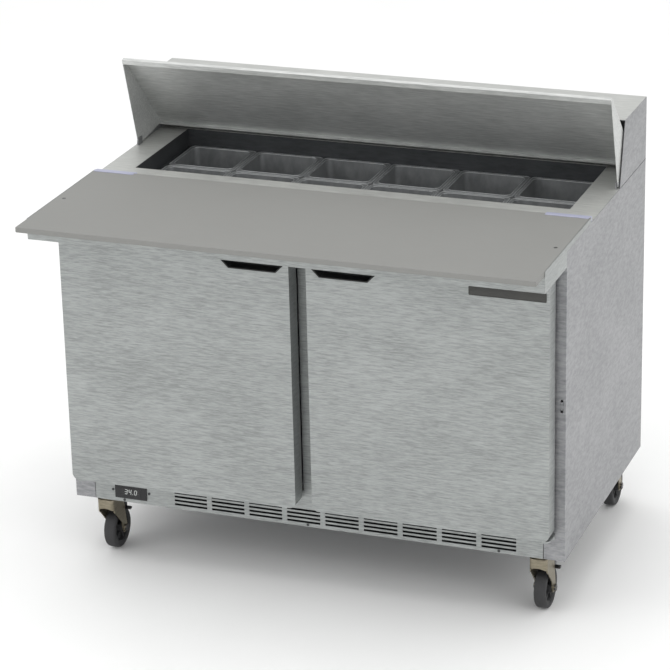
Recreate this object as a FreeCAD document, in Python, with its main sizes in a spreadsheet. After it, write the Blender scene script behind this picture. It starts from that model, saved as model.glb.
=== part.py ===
import FreeCAD, Part
import os
import re
import Sketcher

# Two-door refrigerated sandwich prep table on casters, millimetres, +Z up.
# Origin: on the floor, under the middle of the overall box.  +X right, +Y rear.
# In the expressions below x is measured from the middle, y from the cabinet's
# front plane (rearwards positive) and z from the cabinet's bottom edge.

doc = FreeCAD.newDocument("prepTable")
dims = doc.addObject("Spreadsheet::Sheet", "dims")

sizes = {
    # overall
    "width": 1219, "depth": 682, "bodyTall": 749, "baseZ": 157, "frontY": -242.5,
    "sheet": 1.2, "stile": 50.5, "rearFlange": 22, "stileReturn": 38,
    # rear hood and its lid
    "hoodTall": 153, "hoodFoot": 446, "hoodBrow": 486,
    "pivotY": 448, "pivotZ": 9, "pivotRad": 4, "lidHalf": 605, "lidSkin": 1.8, "lidFront": 212,
    "lidGap": 2, "lidLip": 10, "lipThick": 3, "lidHeelY": 450, "lidHeelTipY": 456, "lidHeelTipZ": 7,
    "lidBackY": 460, "lidBackZ": 22, "lidCrestY": 481, "lidCrestZ": 146, "lidCuff": 13,
    "lidOpen": 73.4, "bracketGap": 1.2, "bracketThick": 2, "bracketHalf": 12, "bracketTall": 18,
    "pinHeadRad": 6.5, "pinHeadThick": 1.5,
    # pan opening
    "mouthHalf": 538, "mouthFront": 275, "mouthRear": 600, "wellDrop": 46, "ledgeSide": 19,
    "ledgeEnd": 9, "panPitch": 176, "rowPitch": 162, "panSlack": 2, "barWide": 14, "barTall": 5,
    "panDeep": 102, "panBodyX": 156, "panBodyY": 142, "panTaper": 4, "panCorner": 16,
    "panSheet": 0.9, "rimThick": 2.2, "rimCorner": 12, "restGap": 0.3, "panFoot": 6,
    # cutting board and its tray
    "boardHalf": 607.8, "boardOver": 232, "boardRear": 198, "boardThick": 12.7,
    "trayFront": 170, "trayDrop": 37, "trayLip": 14, "pinX": 588, "pinY": -16, "pegRad": 4,
    "pegProud": -0.5, "clampLong": 106, "clampWide": 9, "clampTall": 12, "clampGap": 1.5,
    # door opening frame and doors
    "frameDeep": 30, "headLow": 655, "sillHigh": 92, "sillLow": 66, "mullionHalf": 22,
    "doorOuter": 588, "doorInner": 20.5, "doorFace": 59, "doorBack": 10, "doorLow": 71,
    "doorHigh": 703, "skinReturn": 46, "doorCorner": 16, "gasketIn": 16, "gasketWide": 14,
    "gasketGap": 0.6, "gripIn": 34, "gripOut": 185, "gripLow": 650, "gripBend": 18,
    "gripDeep": 32, "gripWall": 3,
    "hingeX": 572, "hingeY": -35, "hingeRad": 4, "hingePlate": 4, "hingeHalf": 14,
    "hingeTail": 14, "hingePin": 20, "hingeGap": 4, "runFit": 0.08,
    "plateIn": 403, "plateOut": 581, "plateLow": 648, "plateHigh": 669, "plateThick": 1.2,
    # kick grille and temperature controller
    "grilleTall": 66, "grilleReturn": 14, "grilleGap": 1.2, "slotLong": 83, "slotTall": 5.2,
    "slotFirstX": -310.5,
    "slotStepX": 95.4, "slotFirstZ": 11.5, "slotStepZ": 10, "ctlLeft": -506, "ctlWide": 82,
    "ctlLow": 10, "ctlTall": 36, "ctlProud": 3, "ctlDeep": 45, "ctlInset": 3, "winInsetX": 16,
    "winInsetZ": 8, "winThick": 1, "screwHead": 3.4, "screwTall": 1.6, "screwShank": 1.9,
    "screwDeep": 8, "screwLow": 5, "ctlScrewZ": 29, "ctlScrewOut": 6, "plugX": 600,
    "plugHighZ": 395, "plugLowZ": 369, "plugRad": 3,
    # insulated liner and machine space
    "wallThick": 50, "linerFront": 41.5, "linerHigh": 690, "linerLow": 67, "roomRear": 500,
    "coldWall": 40, "stepLow": 550, "stepHigh": 590, "stepRoom": 610, "linerRear": 640,
    "upperHalf": 545, "skinGap": 0.2,
    # inside fittings
    "stripWide": 16, "stripDeep": 4, "stripLow": 110, "stripTall": 440, "stripFront": 90,
    "stripRear": 430, "clipOut": 14, "clipTall": 6, "shelfZ": 330, "shelfLong": 520,
    "shelfDeep": 400, "shelfFront": 75, "wireThick": 3, "rungThick": 2, "rungCount": 17,
    "coilWide": 760, "coilDeep": 50, "coilLow": 455, "coilTall": 90, "coilGap": 3, "finStep": 20,
    "finSlot": 9, "finDeep": 12,
    # condensing unit
    "pumpX": 300, "pumpY": 612, "pumpRad": 58, "pumpTall": 130, "pumpFoot": 4, "domeTall": 34,
    "condX": -200, "condHalf": 130, "condY": 556, "condDeep": 36, "condLow": 14, "condTall": 240,
    "shroudThick": 3, "fanRad": 84, "fanGap": 6, "fanDeep": 14, "hubRad": 20, "bladeWide": 46,
    "bladeThick": 2, "bladePitch": 24, "motorRad": 30, "motorDeep": 26, "strutWide": 12,
    "louvreLong": 240, "louvreTall": 6, "louvreLowZ": 60, "louvreStep": 18,
    "inletX": -560, "inletZ": 60, "inletWide": 46, "inletTall": 30, "inletDeep": 26,
    "inletWall": 3, "inletBlade": 2,
    # casters
    "kingX": 542, "kingFront": 40, "kingRear": 632, "padHalf": 24, "padThick": 3, "kingRad": 6,
    "kingLow": 34, "nutRad": 10, "nutTall": 4, "raceRad": 24, "raceTop": 4, "raceTall": 6,
    "forkHalf": 21.5, "forkThick": 2.5, "forkNose": 28, "forkTail": 32, "forkTop": 10, "forkCorner": 10,
    "noseLow": 38, "archTop": 33, "archRad": 40, "legKneeY": 18, "legKneeZ": 86, "legBackZ": 60,
    "trail": 35, "wheelRad": 50, "treadHalf": 15, "treadEase": 4, "rimRad": 37, "hubHalf": 17.5,
    "wheelHub": 13, "webHalf": 7, "axleRad": 5, "axleHead": 8, "axleEnd": 5, "legEye": 13,
    "brakeY": 24, "brakeZ": 28, "brakePin": 3, "brakeHalf": 16, "brakeThick": 5, "brakeTipY": 46,
    "brakeTipZ": 50, "tabEnd": 56, "tabOut": 32, "tabIn": 17, "tabLow": 63,
}

row = 1
for word, number in sizes.items():
    dims.set("A%d" % row, word)
    dims.set("B%d" % row, str(number))
    dims.setAlias("B%d" % row, word)
    row += 1
doc.recompute()


def bound(text):
    """Expression text with every word read from the sheet."""
    return re.sub(r"[A-Za-z]\w*", lambda word: "dims." + word.group(0), str(text))


def place(item, x, y, z, local=False):
    """Bind a placement; y and z get the frame's offsets unless local."""
    item.setExpression(".Placement.Base.x", bound(x))
    item.setExpression(".Placement.Base.y", bound(y if local else "frontY + %s" % y))
    item.setExpression(".Placement.Base.z", bound(z if local else "baseZ + %s" % z))
    return item


def box(x, y, z, long, deep, tall, local=False):
    item = doc.addObject("Part::Box", "block")
    item.setExpression("Length", bound(long))
    item.setExpression("Width", bound(deep))
    item.setExpression("Height", bound(tall))
    return place(item, x, y, z, local)


turns = {
    "X": FreeCAD.Rotation(FreeCAD.Vector(0, 1, 0), 90),
    "Y": FreeCAD.Rotation(FreeCAD.Vector(1, 0, 0), -90),
    "Z": FreeCAD.Rotation(),
}


def rod(axis, x, y, z, radius, long, local=False):
    """Cylinder that starts at x, y, z and runs along +axis."""
    item = doc.addObject("Part::Cylinder", "rod")
    item.Placement = FreeCAD.Placement(FreeCAD.Vector(), turns[axis])
    item.setExpression("Radius", bound(radius))
    item.setExpression("Height", bound(long))
    return place(item, x, y, z, local)


def fuse(*items):
    item = doc.addObject("Part::MultiFuse", "joined")
    item.Shapes = list(items)
    item.Refine = True
    return item


def cut(base, *tools):
    item = doc.addObject("Part::Cut", "trimmed")
    item.Base = base
    item.Tool = tools[0] if len(tools) == 1 else fuse(*tools)
    item.Refine = True
    return item


def group(*items):
    """Separate solids that share one node."""
    item = doc.addObject("Part::Compound", "group")
    item.Links = list(items)
    return item


def outline(body, role, corners):
    """Closed sketch on an origin plane, each corner bound to the sheet."""
    plane = [face for face in body.Origin.OriginFeatures if face.Role == role][0]
    sketch = body.newObject("Sketcher::SketchObject", "outline")
    sketch.AttachmentSupport = [(plane, "")]
    sketch.MapMode = "FlatFace"
    count = len(corners)
    for index in range(count):
        start = FreeCAD.Vector(index, index * index, 0)
        after = (index + 1) % count
        sketch.addGeometry(Part.LineSegment(start, FreeCAD.Vector(after, after * after, 0)), False)
    for index in range(count):
        sketch.addConstraint(Sketcher.Constraint("Coincident", index, 2, (index + 1) % count, 1))
    for index, (across, along) in enumerate(corners):
        for kind, start, text in (("DistanceX", index, across), ("DistanceY", index * index, along)):
            number = sketch.addConstraint(Sketcher.Constraint(kind, -1, 1, index, 1, start))
            sketch.setExpression("Constraints[%d]" % number, bound(text))
    return sketch


def prism(role, corners, long, x="0", y="0", z="0", local=False, centred=False):
    """Body padded from a polygon: XZ_Plane reads (x, z), YZ_Plane reads (y, z)."""
    body = doc.addObject("PartDesign::Body", "prism")
    sketch = outline(body, role, corners)
    pad = body.newObject("PartDesign::Pad", "pad")
    pad.Profile = sketch
    pad.setExpression("Length", bound(long))
    pad.Midplane = centred
    pad.Reversed = role == "XZ_Plane"
    return place(body, x, y, z, local)


def spun(corners, x, y, z, local=False):
    """Body turned about X from a profile of (x, radius) corners."""
    body = doc.addObject("PartDesign::Body", "spun")
    sketch = outline(body, "XY_Plane", corners)
    turn = body.newObject("PartDesign::Revolution", "turn")
    turn.Profile = sketch
    turn.ReferenceAxis = (sketch, ["H_Axis"])
    turn.Angle = 360
    return place(body, x, y, z, local)


def rounded(item, radius, wanted):
    """Fillet the edges of a block whose two end points satisfy wanted."""
    doc.recompute()
    soft = doc.addObject("Part::Fillet", "rounded")
    soft.Base = item
    soft.Edges = [(index + 1, radius, radius) for index, edge in enumerate(item.Shape.Edges)
                  if wanted(edge.Vertexes[0], edge.Vertexes[-1])]
    return soft


def upright(start, end):
    return abs(start.Z - end.Z) > 1


def frontToBack(start, end):
    return abs(start.Y - end.Y) > 1


parts = []


def part(name, item):
    item.Label = name
    parts.append(item)
    return item


def mirrored(sign, low, high):
    """Lower x of a span low..high kept on one side: sign 1 right, -1 left."""
    return low if sign > 0 else "-(%s)" % high


# ---- cabinet casing ------------------------------------------------------

def sidePanel(sign):
    skin = box(mirrored(sign, "width/2 - sheet", "width/2"), "0", "0", "sheet", "depth", "bodyTall")
    stile = box(mirrored(sign, "width/2 - stile", "width/2"), "0", "0", "stile", "sheet", "bodyTall")
    inner = box(mirrored(sign, "width/2 - stile", "width/2 - stile + sheet"), "0", "0",
                "sheet", "stileReturn", "bodyTall - sheet")
    tail = box(mirrored(sign, "width/2 - rearFlange", "width/2"), "depth - sheet", "0",
               "rearFlange", "sheet", "bodyTall")
    return fuse(skin, stile, inner, tail)


plugHoles = [rod("Y", "plugX", "-sheet", height, "plugRad", "4*sheet")
             for height in ("plugHighZ", "plugLowZ")]
part("left_side_panel", sidePanel(-1))
part("right_side_panel", cut(sidePanel(1), *plugHoles))

louvreRows = 8
louvres = [box(left, "depth - 4*sheet", "louvreLowZ + %d*louvreStep" % step,
               "louvreLong", "5*sheet", "louvreTall")
           for left in ("condX - louvreLong/2", "pumpX - louvreLong/2") for step in range(louvreRows)]
inletHole = box("inletX", "depth - 4*sheet", "inletZ", "inletWide", "5*sheet", "inletTall")
part("rear_panel", cut(
    box("-(width/2 - sheet)", "depth - 2*sheet", "0", "width - 2*sheet", "sheet", "bodyTall - sheet"),
    inletHole, *louvres))
part("base_pan", box("-(width/2 - stile)", "sheet", "0", "width - 2*stile", "depth - 3*sheet", "sheet"))

deckSheet = box("-(width/2 - sheet)", "sheet", "bodyTall - sheet", "width - 2*sheet", "depth - 2*sheet",
                "sheet")
deckNose = box("-(width/2 - stile)", "0", "bodyTall - trayDrop", "width - 2*stile", "sheet", "trayDrop")
mouth = box("-mouthHalf", "mouthFront", "bodyTall - 2*sheet", "2*mouthHalf", "mouthRear - mouthFront",
            "4*sheet")
part("top_deck", cut(fuse(deckSheet, deckNose), mouth))

# ---- door opening frame: head, sill and centre mullion -------------------

frameHalf = "(width/2 - stile - skinGap)"
head = box("-" + frameHalf, "sheet", "headLow", "2*" + frameHalf, "frameDeep",
           "bodyTall - sheet - headLow")
brow = box("-" + frameHalf, "0", "headLow", "2*" + frameHalf, "frameDeep", "bodyTall - trayDrop - headLow")
sill = box("-" + frameHalf, "0", "sillLow", "2*" + frameHalf, "frameDeep", "sillHigh - sillLow")
mullion = box("-mullionHalf", "0", "sillLow", "2*mullionHalf", "frameDeep", "headLow - sillLow")
part("door_frame", fuse(head, brow, sill, mullion))

# ---- kick grille, controller and their screws ----------------------------

slotGroups = 9
slotRows = 4
screwSpots = [("-483", "screwLow"), ("-14", "screwLow"), ("453", "screwLow"),
              ("ctlLeft - ctlScrewOut", "ctlScrewZ"), ("ctlLeft + ctlWide + ctlScrewOut", "ctlScrewZ")]
slots = [box("slotFirstX + %d*slotStepX - slotLong/2" % across, "-sheet",
             "slotFirstZ + %d*slotStepZ - slotTall/2" % up, "slotLong", "4*sheet", "slotTall")
         for across in range(slotGroups) for up in range(slotRows)]
screwHoles = [rod("Y", x, "-sheet", z, "screwShank + runFit", "4*sheet") for x, z in screwSpots]
ctlHole = box("ctlLeft + ctlInset", "-sheet", "ctlLow + ctlInset", "ctlWide - 2*ctlInset", "4*sheet",
              "ctlTall - 2*ctlInset")
kickHalf = "(width/2 - stile - grilleGap)"
kick = box("-" + kickHalf, "0", "0", "2*" + kickHalf, "sheet", "grilleTall")
kickTop = box("-" + kickHalf, "0", "grilleTall - sheet", "2*" + kickHalf, "grilleReturn", "sheet")
part("grille_panel", cut(fuse(kick, kickTop), ctlHole, *(slots + screwHoles)))
part("panel_screws", group(*[
    fuse(rod("Y", x, "-screwTall", z, "screwHead", "screwTall"),
         rod("Y", x, "-screwTall/2", z, "screwShank", "screwDeep"))
    for x, z in screwSpots]))

bezel = box("ctlLeft", "-ctlProud", "ctlLow", "ctlWide", "ctlProud", "ctlTall")
ctlBody = box("ctlLeft + ctlInset + skinGap", "-ctlProud/2", "ctlLow + ctlInset + skinGap",
              "ctlWide - 2*ctlInset - 2*skinGap", "ctlDeep", "ctlTall - 2*ctlInset - 2*skinGap")
winSeat = box("ctlLeft + winInsetX", "-ctlProud - winThick", "ctlLow + winInsetZ", "ctlWide - 2*winInsetX",
              "2*winThick", "ctlTall - 2*winInsetZ")
part("controller_housing", cut(fuse(bezel, ctlBody), winSeat))
part("display_window", box("ctlLeft + winInsetX", "-ctlProud", "ctlLow + winInsetZ", "ctlWide - 2*winInsetX",
                           "winThick", "ctlTall - 2*winInsetZ"))

# ---- insulated liner: foam walls bonded to the inner sheet ---------------

linerHalf = "(width/2 - sheet - skinGap)"
block = box("-" + linerHalf, "linerFront", "linerLow", "2*" + linerHalf, "linerRear - linerFront",
            "linerHigh - linerLow")
room = box("-(width/2 - wallThick)", "linerFront - sheet", "sillHigh", "width - 2*wallThick",
           "roomRear - linerFront + sheet", "linerHigh")
loft = box("-upperHalf", "linerFront - sheet", "stepHigh", "2*upperHalf", "stepRoom - linerFront + sheet",
           "linerHigh")
machineRoom = box("-width", "roomRear + coldWall", "0", "2*width", "linerRear", "stepLow")
part("insulated_liner", cut(block, room, loft, machineRoom))

# ---- pan well, divider bars and pans -------------------------------------

wellTall = "(wellDrop - sheet)"
wellOut = box("-(mouthHalf + sheet)", "mouthFront - sheet", "bodyTall - wellDrop - sheet",
              "2*(mouthHalf + sheet)", "mouthRear - mouthFront + 2*sheet", "wellDrop")
wellRoom = box("-mouthHalf", "mouthFront", "bodyTall - wellDrop", "2*mouthHalf",
               "mouthRear - mouthFront", "2*wellDrop")
wellHole = box("-(mouthHalf - ledgeSide)", "mouthFront + ledgeEnd", "bodyTall - 2*wellDrop",
               "2*(mouthHalf - ledgeSide)", "mouthRear - mouthFront - 2*ledgeEnd", "3*wellDrop")
part("pan_well", cut(wellOut, wellRoom, wellHole))

panColumns = 6
panRows = 2
midRow = "(mouthFront + mouthRear)/2"
bars = []
for column in range(1, panColumns):
    bars.append(box("(%d - 3)*panPitch - barWide/2" % column, "mouthFront + ledgeEnd",
                    "bodyTall - wellDrop - barTall", "barWide",
                    "mouthRear - mouthFront - 2*ledgeEnd", "barTall"))
for column in range(panColumns):
    leftEnd = "(%d - 3)*panPitch + barWide/2" % column
    rightEnd = "(%d - 2)*panPitch - barWide/2" % column
    if column == 0:
        leftEnd = "-(mouthHalf - ledgeSide)"
    if column == panColumns - 1:
        rightEnd = "mouthHalf - ledgeSide"
    bars.append(box(leftEnd, midRow + " - barWide/2", "bodyTall - wellDrop - barTall",
                    "%s - (%s)" % (rightEnd, leftEnd), "barWide", "barTall"))
part("pan_divider_bars", group(*bars))


def edgesAlong(shape, steep):
    """Names of the edges that stand up (steep) or lie level."""
    names = []
    for index, edge in enumerate(shape.Edges):
        rise = abs(edge.Vertexes[-1].Z - edge.Vertexes[0].Z)
        if (rise > 1) == steep:
            names.append("Edge%d" % (index + 1))
    return names


def tub(halfX, halfY, deep, corner, foot):
    """Solid tapered tub with its top at z 0 and rounded corners."""
    body = doc.addObject("PartDesign::Body", "tub")
    sketch = outline(body, "XY_Plane", [("-" + halfX, "-" + halfY), (halfX, "-" + halfY),
                                        (halfX, halfY), ("-" + halfX, halfY)])
    pad = body.newObject("PartDesign::Pad", "depth")
    pad.Profile = sketch
    pad.Reversed = True
    pad.setExpression("Length", bound(deep))
    pad.setExpression("TaperAngle", bound("-panTaper"))
    doc.recompute()
    corners = body.newObject("PartDesign::Fillet", "corners")
    corners.Base = (pad, edgesAlong(pad.Shape, True))
    corners.setExpression("Radius", bound(corner))
    doc.recompute()
    floor = body.newObject("PartDesign::Fillet", "floorEdge")
    lowest = min(point.Z for point in corners.Shape.Vertexes)
    low = ["Edge%d" % (index + 1) for index, edge in enumerate(corners.Shape.Edges)
           if max(point.Z for point in edge.Vertexes) < lowest + 1]
    floor.Base = (corners, low)
    floor.setExpression("Radius", bound(foot))
    doc.recompute()
    return body


def pan(centreX, centreY):
    """Tapered food pan with rounded corners, hollow, and a flat rim."""
    outside = tub("(panBodyX/2)", "(panBodyY/2)", "panDeep", "panCorner", "panFoot")
    inside = tub("(panBodyX/2 - panSheet)", "(panBodyY/2 - panSheet)", "panDeep - panSheet",
                 "panCorner - panSheet", "panFoot - panSheet")
    rimX = "(panPitch - panSlack)"
    rimY = "(rowPitch - panSlack)"
    rim = box("-%s/2" % rimX, "-%s/2" % rimY, "-rimThick", rimX, rimY, "rimThick", True)
    whole = cut(fuse(outside, rounded(rim, sizes["rimCorner"], upright)), inside)
    return place(whole, centreX, centreY, "bodyTall - wellDrop + restGap + rimThick")


for rank in range(panRows):
    rankName = ("front", "rear")[rank]
    for column in range(panColumns):
        centreX = "(%d - 2.5)*panPitch" % column
        centreY = "(%s + (%d - 0.5)*rowPitch)" % (midRow, rank)
        part("%s_pan_%d" % (rankName, column + 1), pan(centreX, centreY))

# ---- rear hood ------------------------------------------------------------

deck = "bodyTall"
cheek = [("hoodFoot", "0"), ("depth", "0"), ("depth", "hoodTall"), ("hoodBrow", "hoodTall")]
hoodSides = [prism("YZ_Plane", cheek, "sheet", x, "0", deck)
             for x in ("-width/2", "width/2 - sheet")]
hoodRoof = box("-width/2", "hoodBrow", "bodyTall + hoodTall - sheet", "width", "depth - hoodBrow", "sheet")
hoodBack = box("-width/2", "depth - sheet", deck, "width", "sheet", "hoodTall")
part("rear_hood", fuse(hoodRoof, hoodBack, *hoodSides))


def pivot(sign):
    """Upright plate inside the lid's wing; its pin goes out through the wing to a cap."""
    face = "(lidHalf - sheet - bracketGap)"
    capStart = "(lidHalf + skinGap)"
    plate = box(mirrored(sign, face + " - bracketThick", face), "pivotY - bracketHalf", deck,
                "bracketThick", "2*bracketHalf", "bracketTall")
    pin = rod("X", mirrored(sign, face, capStart), "pivotY", "bodyTall + pivotZ", "pivotRad",
              capStart + " - " + face)
    cap = rod("X", mirrored(sign, capStart, capStart + " + pinHeadThick"), "pivotY", "bodyTall + pivotZ",
              "pinHeadRad", "pinHeadThick")
    return fuse(plate, pin, cap)


part("lid_pivots", group(pivot(-1), pivot(1)))

# ---- lid: drawn shut about its pivot, then swung open ---------------------

def fromPivot(y, z):
    return ("%s - pivotY" % y, "%s - pivotZ" % z)


wing = [fromPivot("lidFront", "lidGap"), fromPivot("lidHeelY", "lidGap"),
        fromPivot("lidHeelTipY", "lidHeelTipZ"), fromPivot("lidBackY", "lidBackZ"),
        fromPivot("lidCrestY", "lidCrestZ"), fromPivot("lidFront", "lidGap + lidLip")]
slope = [fromPivot("lidFront", "lidGap + lidLip"), fromPivot("lidFront", "lidGap + lidLip - lidSkin"),
         fromPivot("lidCrestY", "lidCrestZ - lidSkin"), fromPivot("lidCrestY", "lidCrestZ")]
wings = [prism("YZ_Plane", wing, "sheet", x, "0", "0", True) for x in ("-lidHalf", "lidHalf - sheet")]
lidTop = prism("YZ_Plane", slope, "2*lidHalf", "-lidHalf", "0", "0", True)
lip = box("-lidHalf", "lidFront - pivotY", "lidGap - pivotZ", "2*lidHalf", "lipThick", "lidLip", True)
lipTurn = box("-lidHalf", "lidFront - pivotY", "lidGap - pivotZ", "2*lidHalf", "4*lipThick", "sheet", True)
cuff = box("-lidHalf", "lidCrestY - sheet - pivotY", "lidCrestZ - lidCuff - pivotZ", "2*lidHalf", "sheet",
           "lidCuff", True)
pinHoles = rod("X", "-width/2", "0", "0", "pivotRad + runFit", "width", True)
lid = cut(fuse(lidTop, lip, lipTurn, cuff, *wings), pinHoles)
swing = FreeCAD.Rotation(FreeCAD.Vector(1, 0, 0), -sizes["lidOpen"])
lid.Placement = FreeCAD.Placement(FreeCAD.Vector(), swing)
lid.setExpression(".Placement.Rotation.Angle", bound("-lidOpen"))
part("lid_shell", place(lid, "0", "pivotY", "bodyTall + pivotZ"))

# ---- cutting board, tray, pegs and rear brackets --------------------------

trayTop = box("-width/2", "-trayFront", "bodyTall - sheet", "width", "trayFront", "sheet")
trayNose = box("-width/2", "-trayFront", "bodyTall - trayDrop", "width", "sheet", "trayDrop")
trayLip = box("-width/2", "-trayFront", "bodyTall - trayDrop", "width", "trayLip", "sheet")
cheeks = [box(x, "-trayFront", "bodyTall - trayDrop", "sheet", "trayFront", "trayDrop + boardThick")
          for x in ("-width/2", "width/2 - sheet")]
curbs = [box(x, "-sheet", "bodyTall", "sheet", "boardRear + sheet", "boardThick")
         for x in ("-width/2", "width/2 - sheet")]
part("board_tray", fuse(trayTop, trayNose, trayLip, *(cheeks + curbs)))
part("board_pins", group(*[rod("Z", x, "pinY", "bodyTall", "pegRad", "boardThick + restGap + pegProud")
                           for x in ("-pinX", "pinX")]))
part("board_brackets", group(*[
    box(mirrored(sign, "width/2 - sheet - clampLong", "width/2 - sheet"), "boardRear + clampGap", deck,
        "clampLong", "clampWide", "clampTall") for sign in (-1, 1)]))
slab = box("-boardHalf", "-boardOver", "bodyTall + restGap", "2*boardHalf", "boardOver + boardRear",
           "boardThick")
pegHoles = [rod("Z", x, "pinY", "bodyTall - boardThick", "pegRad + runFit", "3*boardThick")
            for x in ("-pinX", "pinX")]
part("cutting_board", cut(slab, *pegHoles))

# ---- doors ----------------------------------------------------------------

def span(sign, inner, outer):
    return mirrored(sign, inner, outer)


def gripShape(sign, inset):
    """Finger-pull outline: upright sides with the two lower corners cut at 45 degrees."""
    corners = [("gripIn + %s" % inset, "doorHigh - %s" % inset),
               ("gripOut - %s" % inset, "doorHigh - %s" % inset),
               ("gripOut - %s" % inset, "gripLow + gripBend + %s/2" % inset),
               ("gripOut - gripBend - %s/2" % inset, "gripLow + %s" % inset),
               ("gripIn + gripBend + %s/2" % inset, "gripLow + %s" % inset),
               ("gripIn + %s" % inset, "gripLow + gripBend + %s/2" % inset)]
    return [(across if sign > 0 else "-(%s)" % across, up) for across, up in corners]


def door(side, sign):
    doorLong = "(doorOuter - doorInner)"
    outer = box(span(sign, "doorInner", "doorOuter"), "-doorFace", "doorLow", doorLong, "skinReturn",
                "doorHigh - doorLow")
    inner = box(span(sign, "doorInner + sheet", "doorOuter - sheet"), "-doorFace + sheet", "doorLow + sheet",
                doorLong + " - 2*sheet", "skinReturn", "doorHigh - doorLow - 2*sheet")
    holes = [rod("Z", span(sign, "hingeX", "hingeX"), "hingeY", z, "hingeRad + runFit", "hingePin + hingeGap")
             for z in ("doorHigh - hingePin", "doorLow - hingeGap")]
    notch = prism("XZ_Plane", gripShape(sign, "0"), "gripDeep + sheet", "0", "-doorFace - sheet", "0")
    bend = sizes["doorCorner"]
    innerBend = bend - sizes["sheet"]
    part(side + "_door_skin", cut(rounded(outer, bend, frontToBack), rounded(inner, innerBend, frontToBack),
                                  notch, *holes))

    core = box(span(sign, "doorInner + sheet", "doorOuter - sheet"), "-doorFace + sheet", "doorLow + sheet",
               doorLong + " - 2*sheet", "doorFace - doorBack - sheet", "doorHigh - doorLow - 2*sheet")
    part(side + "_door_core", cut(rounded(core, innerBend, frontToBack), notch, *holes))

    cup = prism("XZ_Plane", gripShape(sign, "0"), "gripDeep", "0", "-doorFace", "0")
    pocket = prism("XZ_Plane", gripShape(sign, "gripWall"), "gripDeep - gripWall + sheet", "0",
                   "-doorFace - sheet", "0")
    part(side + "_door_handle", cut(cup, pocket))

    ring = box(span(sign, "doorInner + gasketIn", "doorOuter - gasketIn"), "-doorBack", "doorLow + gasketIn",
               doorLong + " - 2*gasketIn", "doorBack - gasketGap", "doorHigh - doorLow - 2*gasketIn")
    edge = "(gasketIn + gasketWide)"
    hole = box(span(sign, "doorInner + " + edge, "doorOuter - " + edge), "-doorBack - sheet",
               "doorLow + " + edge, doorLong + " - 2*" + edge, "doorBack + 2*sheet",
               "doorHigh - doorLow - 2*" + edge)
    part(side + "_door_gasket", cut(ring, hole))


door("left", -1)
door("right", 1)
part("nameplate", box("plateIn", "-doorFace - plateThick", "plateLow", "plateOut - plateIn", "plateThick",
                      "plateHigh - plateLow"))


def hinge(sign, low, pinUp):
    """Round-nosed bracket plate with its tail on the frame; the pin points into the door."""
    left = span(sign, "hingeX - hingeHalf", "hingeX + hingeHalf")
    plate = box(left, "hingeY", low, "2*hingeHalf", "-hingeY", "hingePlate")
    nose = rod("Z", span(sign, "hingeX", "hingeX"), "hingeY", low, "hingeHalf", "hingePlate")
    tailLow = low + " - hingeTail + hingePlate" if pinUp else low
    tailTall = "hingeTail" if pinUp else "2*hingePlate"
    tail = box(left, "-hingePlate", tailLow, "2*hingeHalf", "hingePlate", tailTall)
    pinLow = low if pinUp else low + " - hingePin + hingeGap"
    pin = rod("Z", span(sign, "hingeX", "hingeX"), "hingeY", pinLow, "hingeRad", "hingePin")
    return fuse(plate, nose, tail, pin)


lowPlate = "doorLow - hingeGap - hingePlate"
highPlate = "doorHigh + hingeGap"
part("hinge_brackets", group(*[hinge(sign, low, low == lowPlate)
                               for sign in (-1, 1) for low in (lowPlate, highPlate)]))

# ---- shelf strips with clips, wire shelves --------------------------------

strips = []
for sign in (-1, 1):
    for front in ("stripFront", "stripRear"):
        wall = "width/2 - wallThick"
        strip = box(mirrored(sign, wall + " - stripDeep", wall), front, "stripLow", "stripDeep", "stripWide",
                    "stripTall")
        clip = box(mirrored(sign, wall + " - clipOut", wall), front, "shelfZ - clipTall", "clipOut",
                   "stripWide", "clipTall")
        strips.append(fuse(strip, clip))
for front in ("stripFront", "stripRear"):
    post = box("-stripDeep/2", front, "sillHigh", "stripDeep", "stripWide", "stripTall")
    rest = box("-clipOut", front, "shelfZ - clipTall", "2*clipOut", "stripWide", "clipTall")
    strips.append(fuse(post, rest))
part("shelf_pilasters", group(*strips))


def shelf(sign):
    low = mirrored(sign, "panSlack*2", "panSlack*2 + shelfLong")
    level = "shelfZ + wireThick + restGap"
    rails = [rod("X", low, "shelfFront + %s" % back, level, "wireThick", "shelfLong")
             for back in ("0", "shelfDeep/2", "shelfDeep")]
    rungs = [rod("Y", "%s + wireThick + %d*(shelfLong - 2*wireThick)/rungCount" % (low, index),
                 "shelfFront - wireThick", level + " + wireThick", "rungThick", "shelfDeep + 2*wireThick")
             for index in range(sizes["rungCount"] + 1)]
    return fuse(*(rails + rungs))


part("wire_shelves", group(shelf(-1), shelf(1)))

# ---- refrigeration: evaporator, condensing unit, fan, inlet ----------------

coil = box("-coilWide/2", "roomRear - coilGap - coilDeep", "coilLow", "coilWide", "coilDeep", "coilTall")
finGaps = [box("-coilWide/2 + %d*finStep + finStep/2" % index, "roomRear - coilGap - coilDeep - sheet",
               "coilLow - sheet", "finSlot", "finDeep", "coilTall + 2*sheet")
           for index in range(int(sizes["coilWide"] / sizes["finStep"]) - 1)]
part("evaporator_coil", cut(coil, *finGaps))

can = rod("Z", "pumpX", "pumpY", "sheet + pumpFoot", "pumpRad", "pumpTall")
dome = rod("Z", "pumpX", "pumpY", "sheet + pumpFoot + pumpTall", "pumpRad*0.8", "domeTall/2")
feet = box("pumpX - pumpRad - pumpFoot*4", "pumpY - pumpRad*0.8", "sheet", "2*(pumpRad + pumpFoot*4)",
           "pumpRad*1.6", "pumpFoot")
terminal = box("pumpX + pumpRad*0.7", "pumpY - pumpRad*0.4", "sheet + pumpTall/2", "pumpRad*0.6",
               "pumpRad*0.8", "pumpRad*0.8")
part("compressor", fuse(can, dome, feet, terminal))

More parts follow.
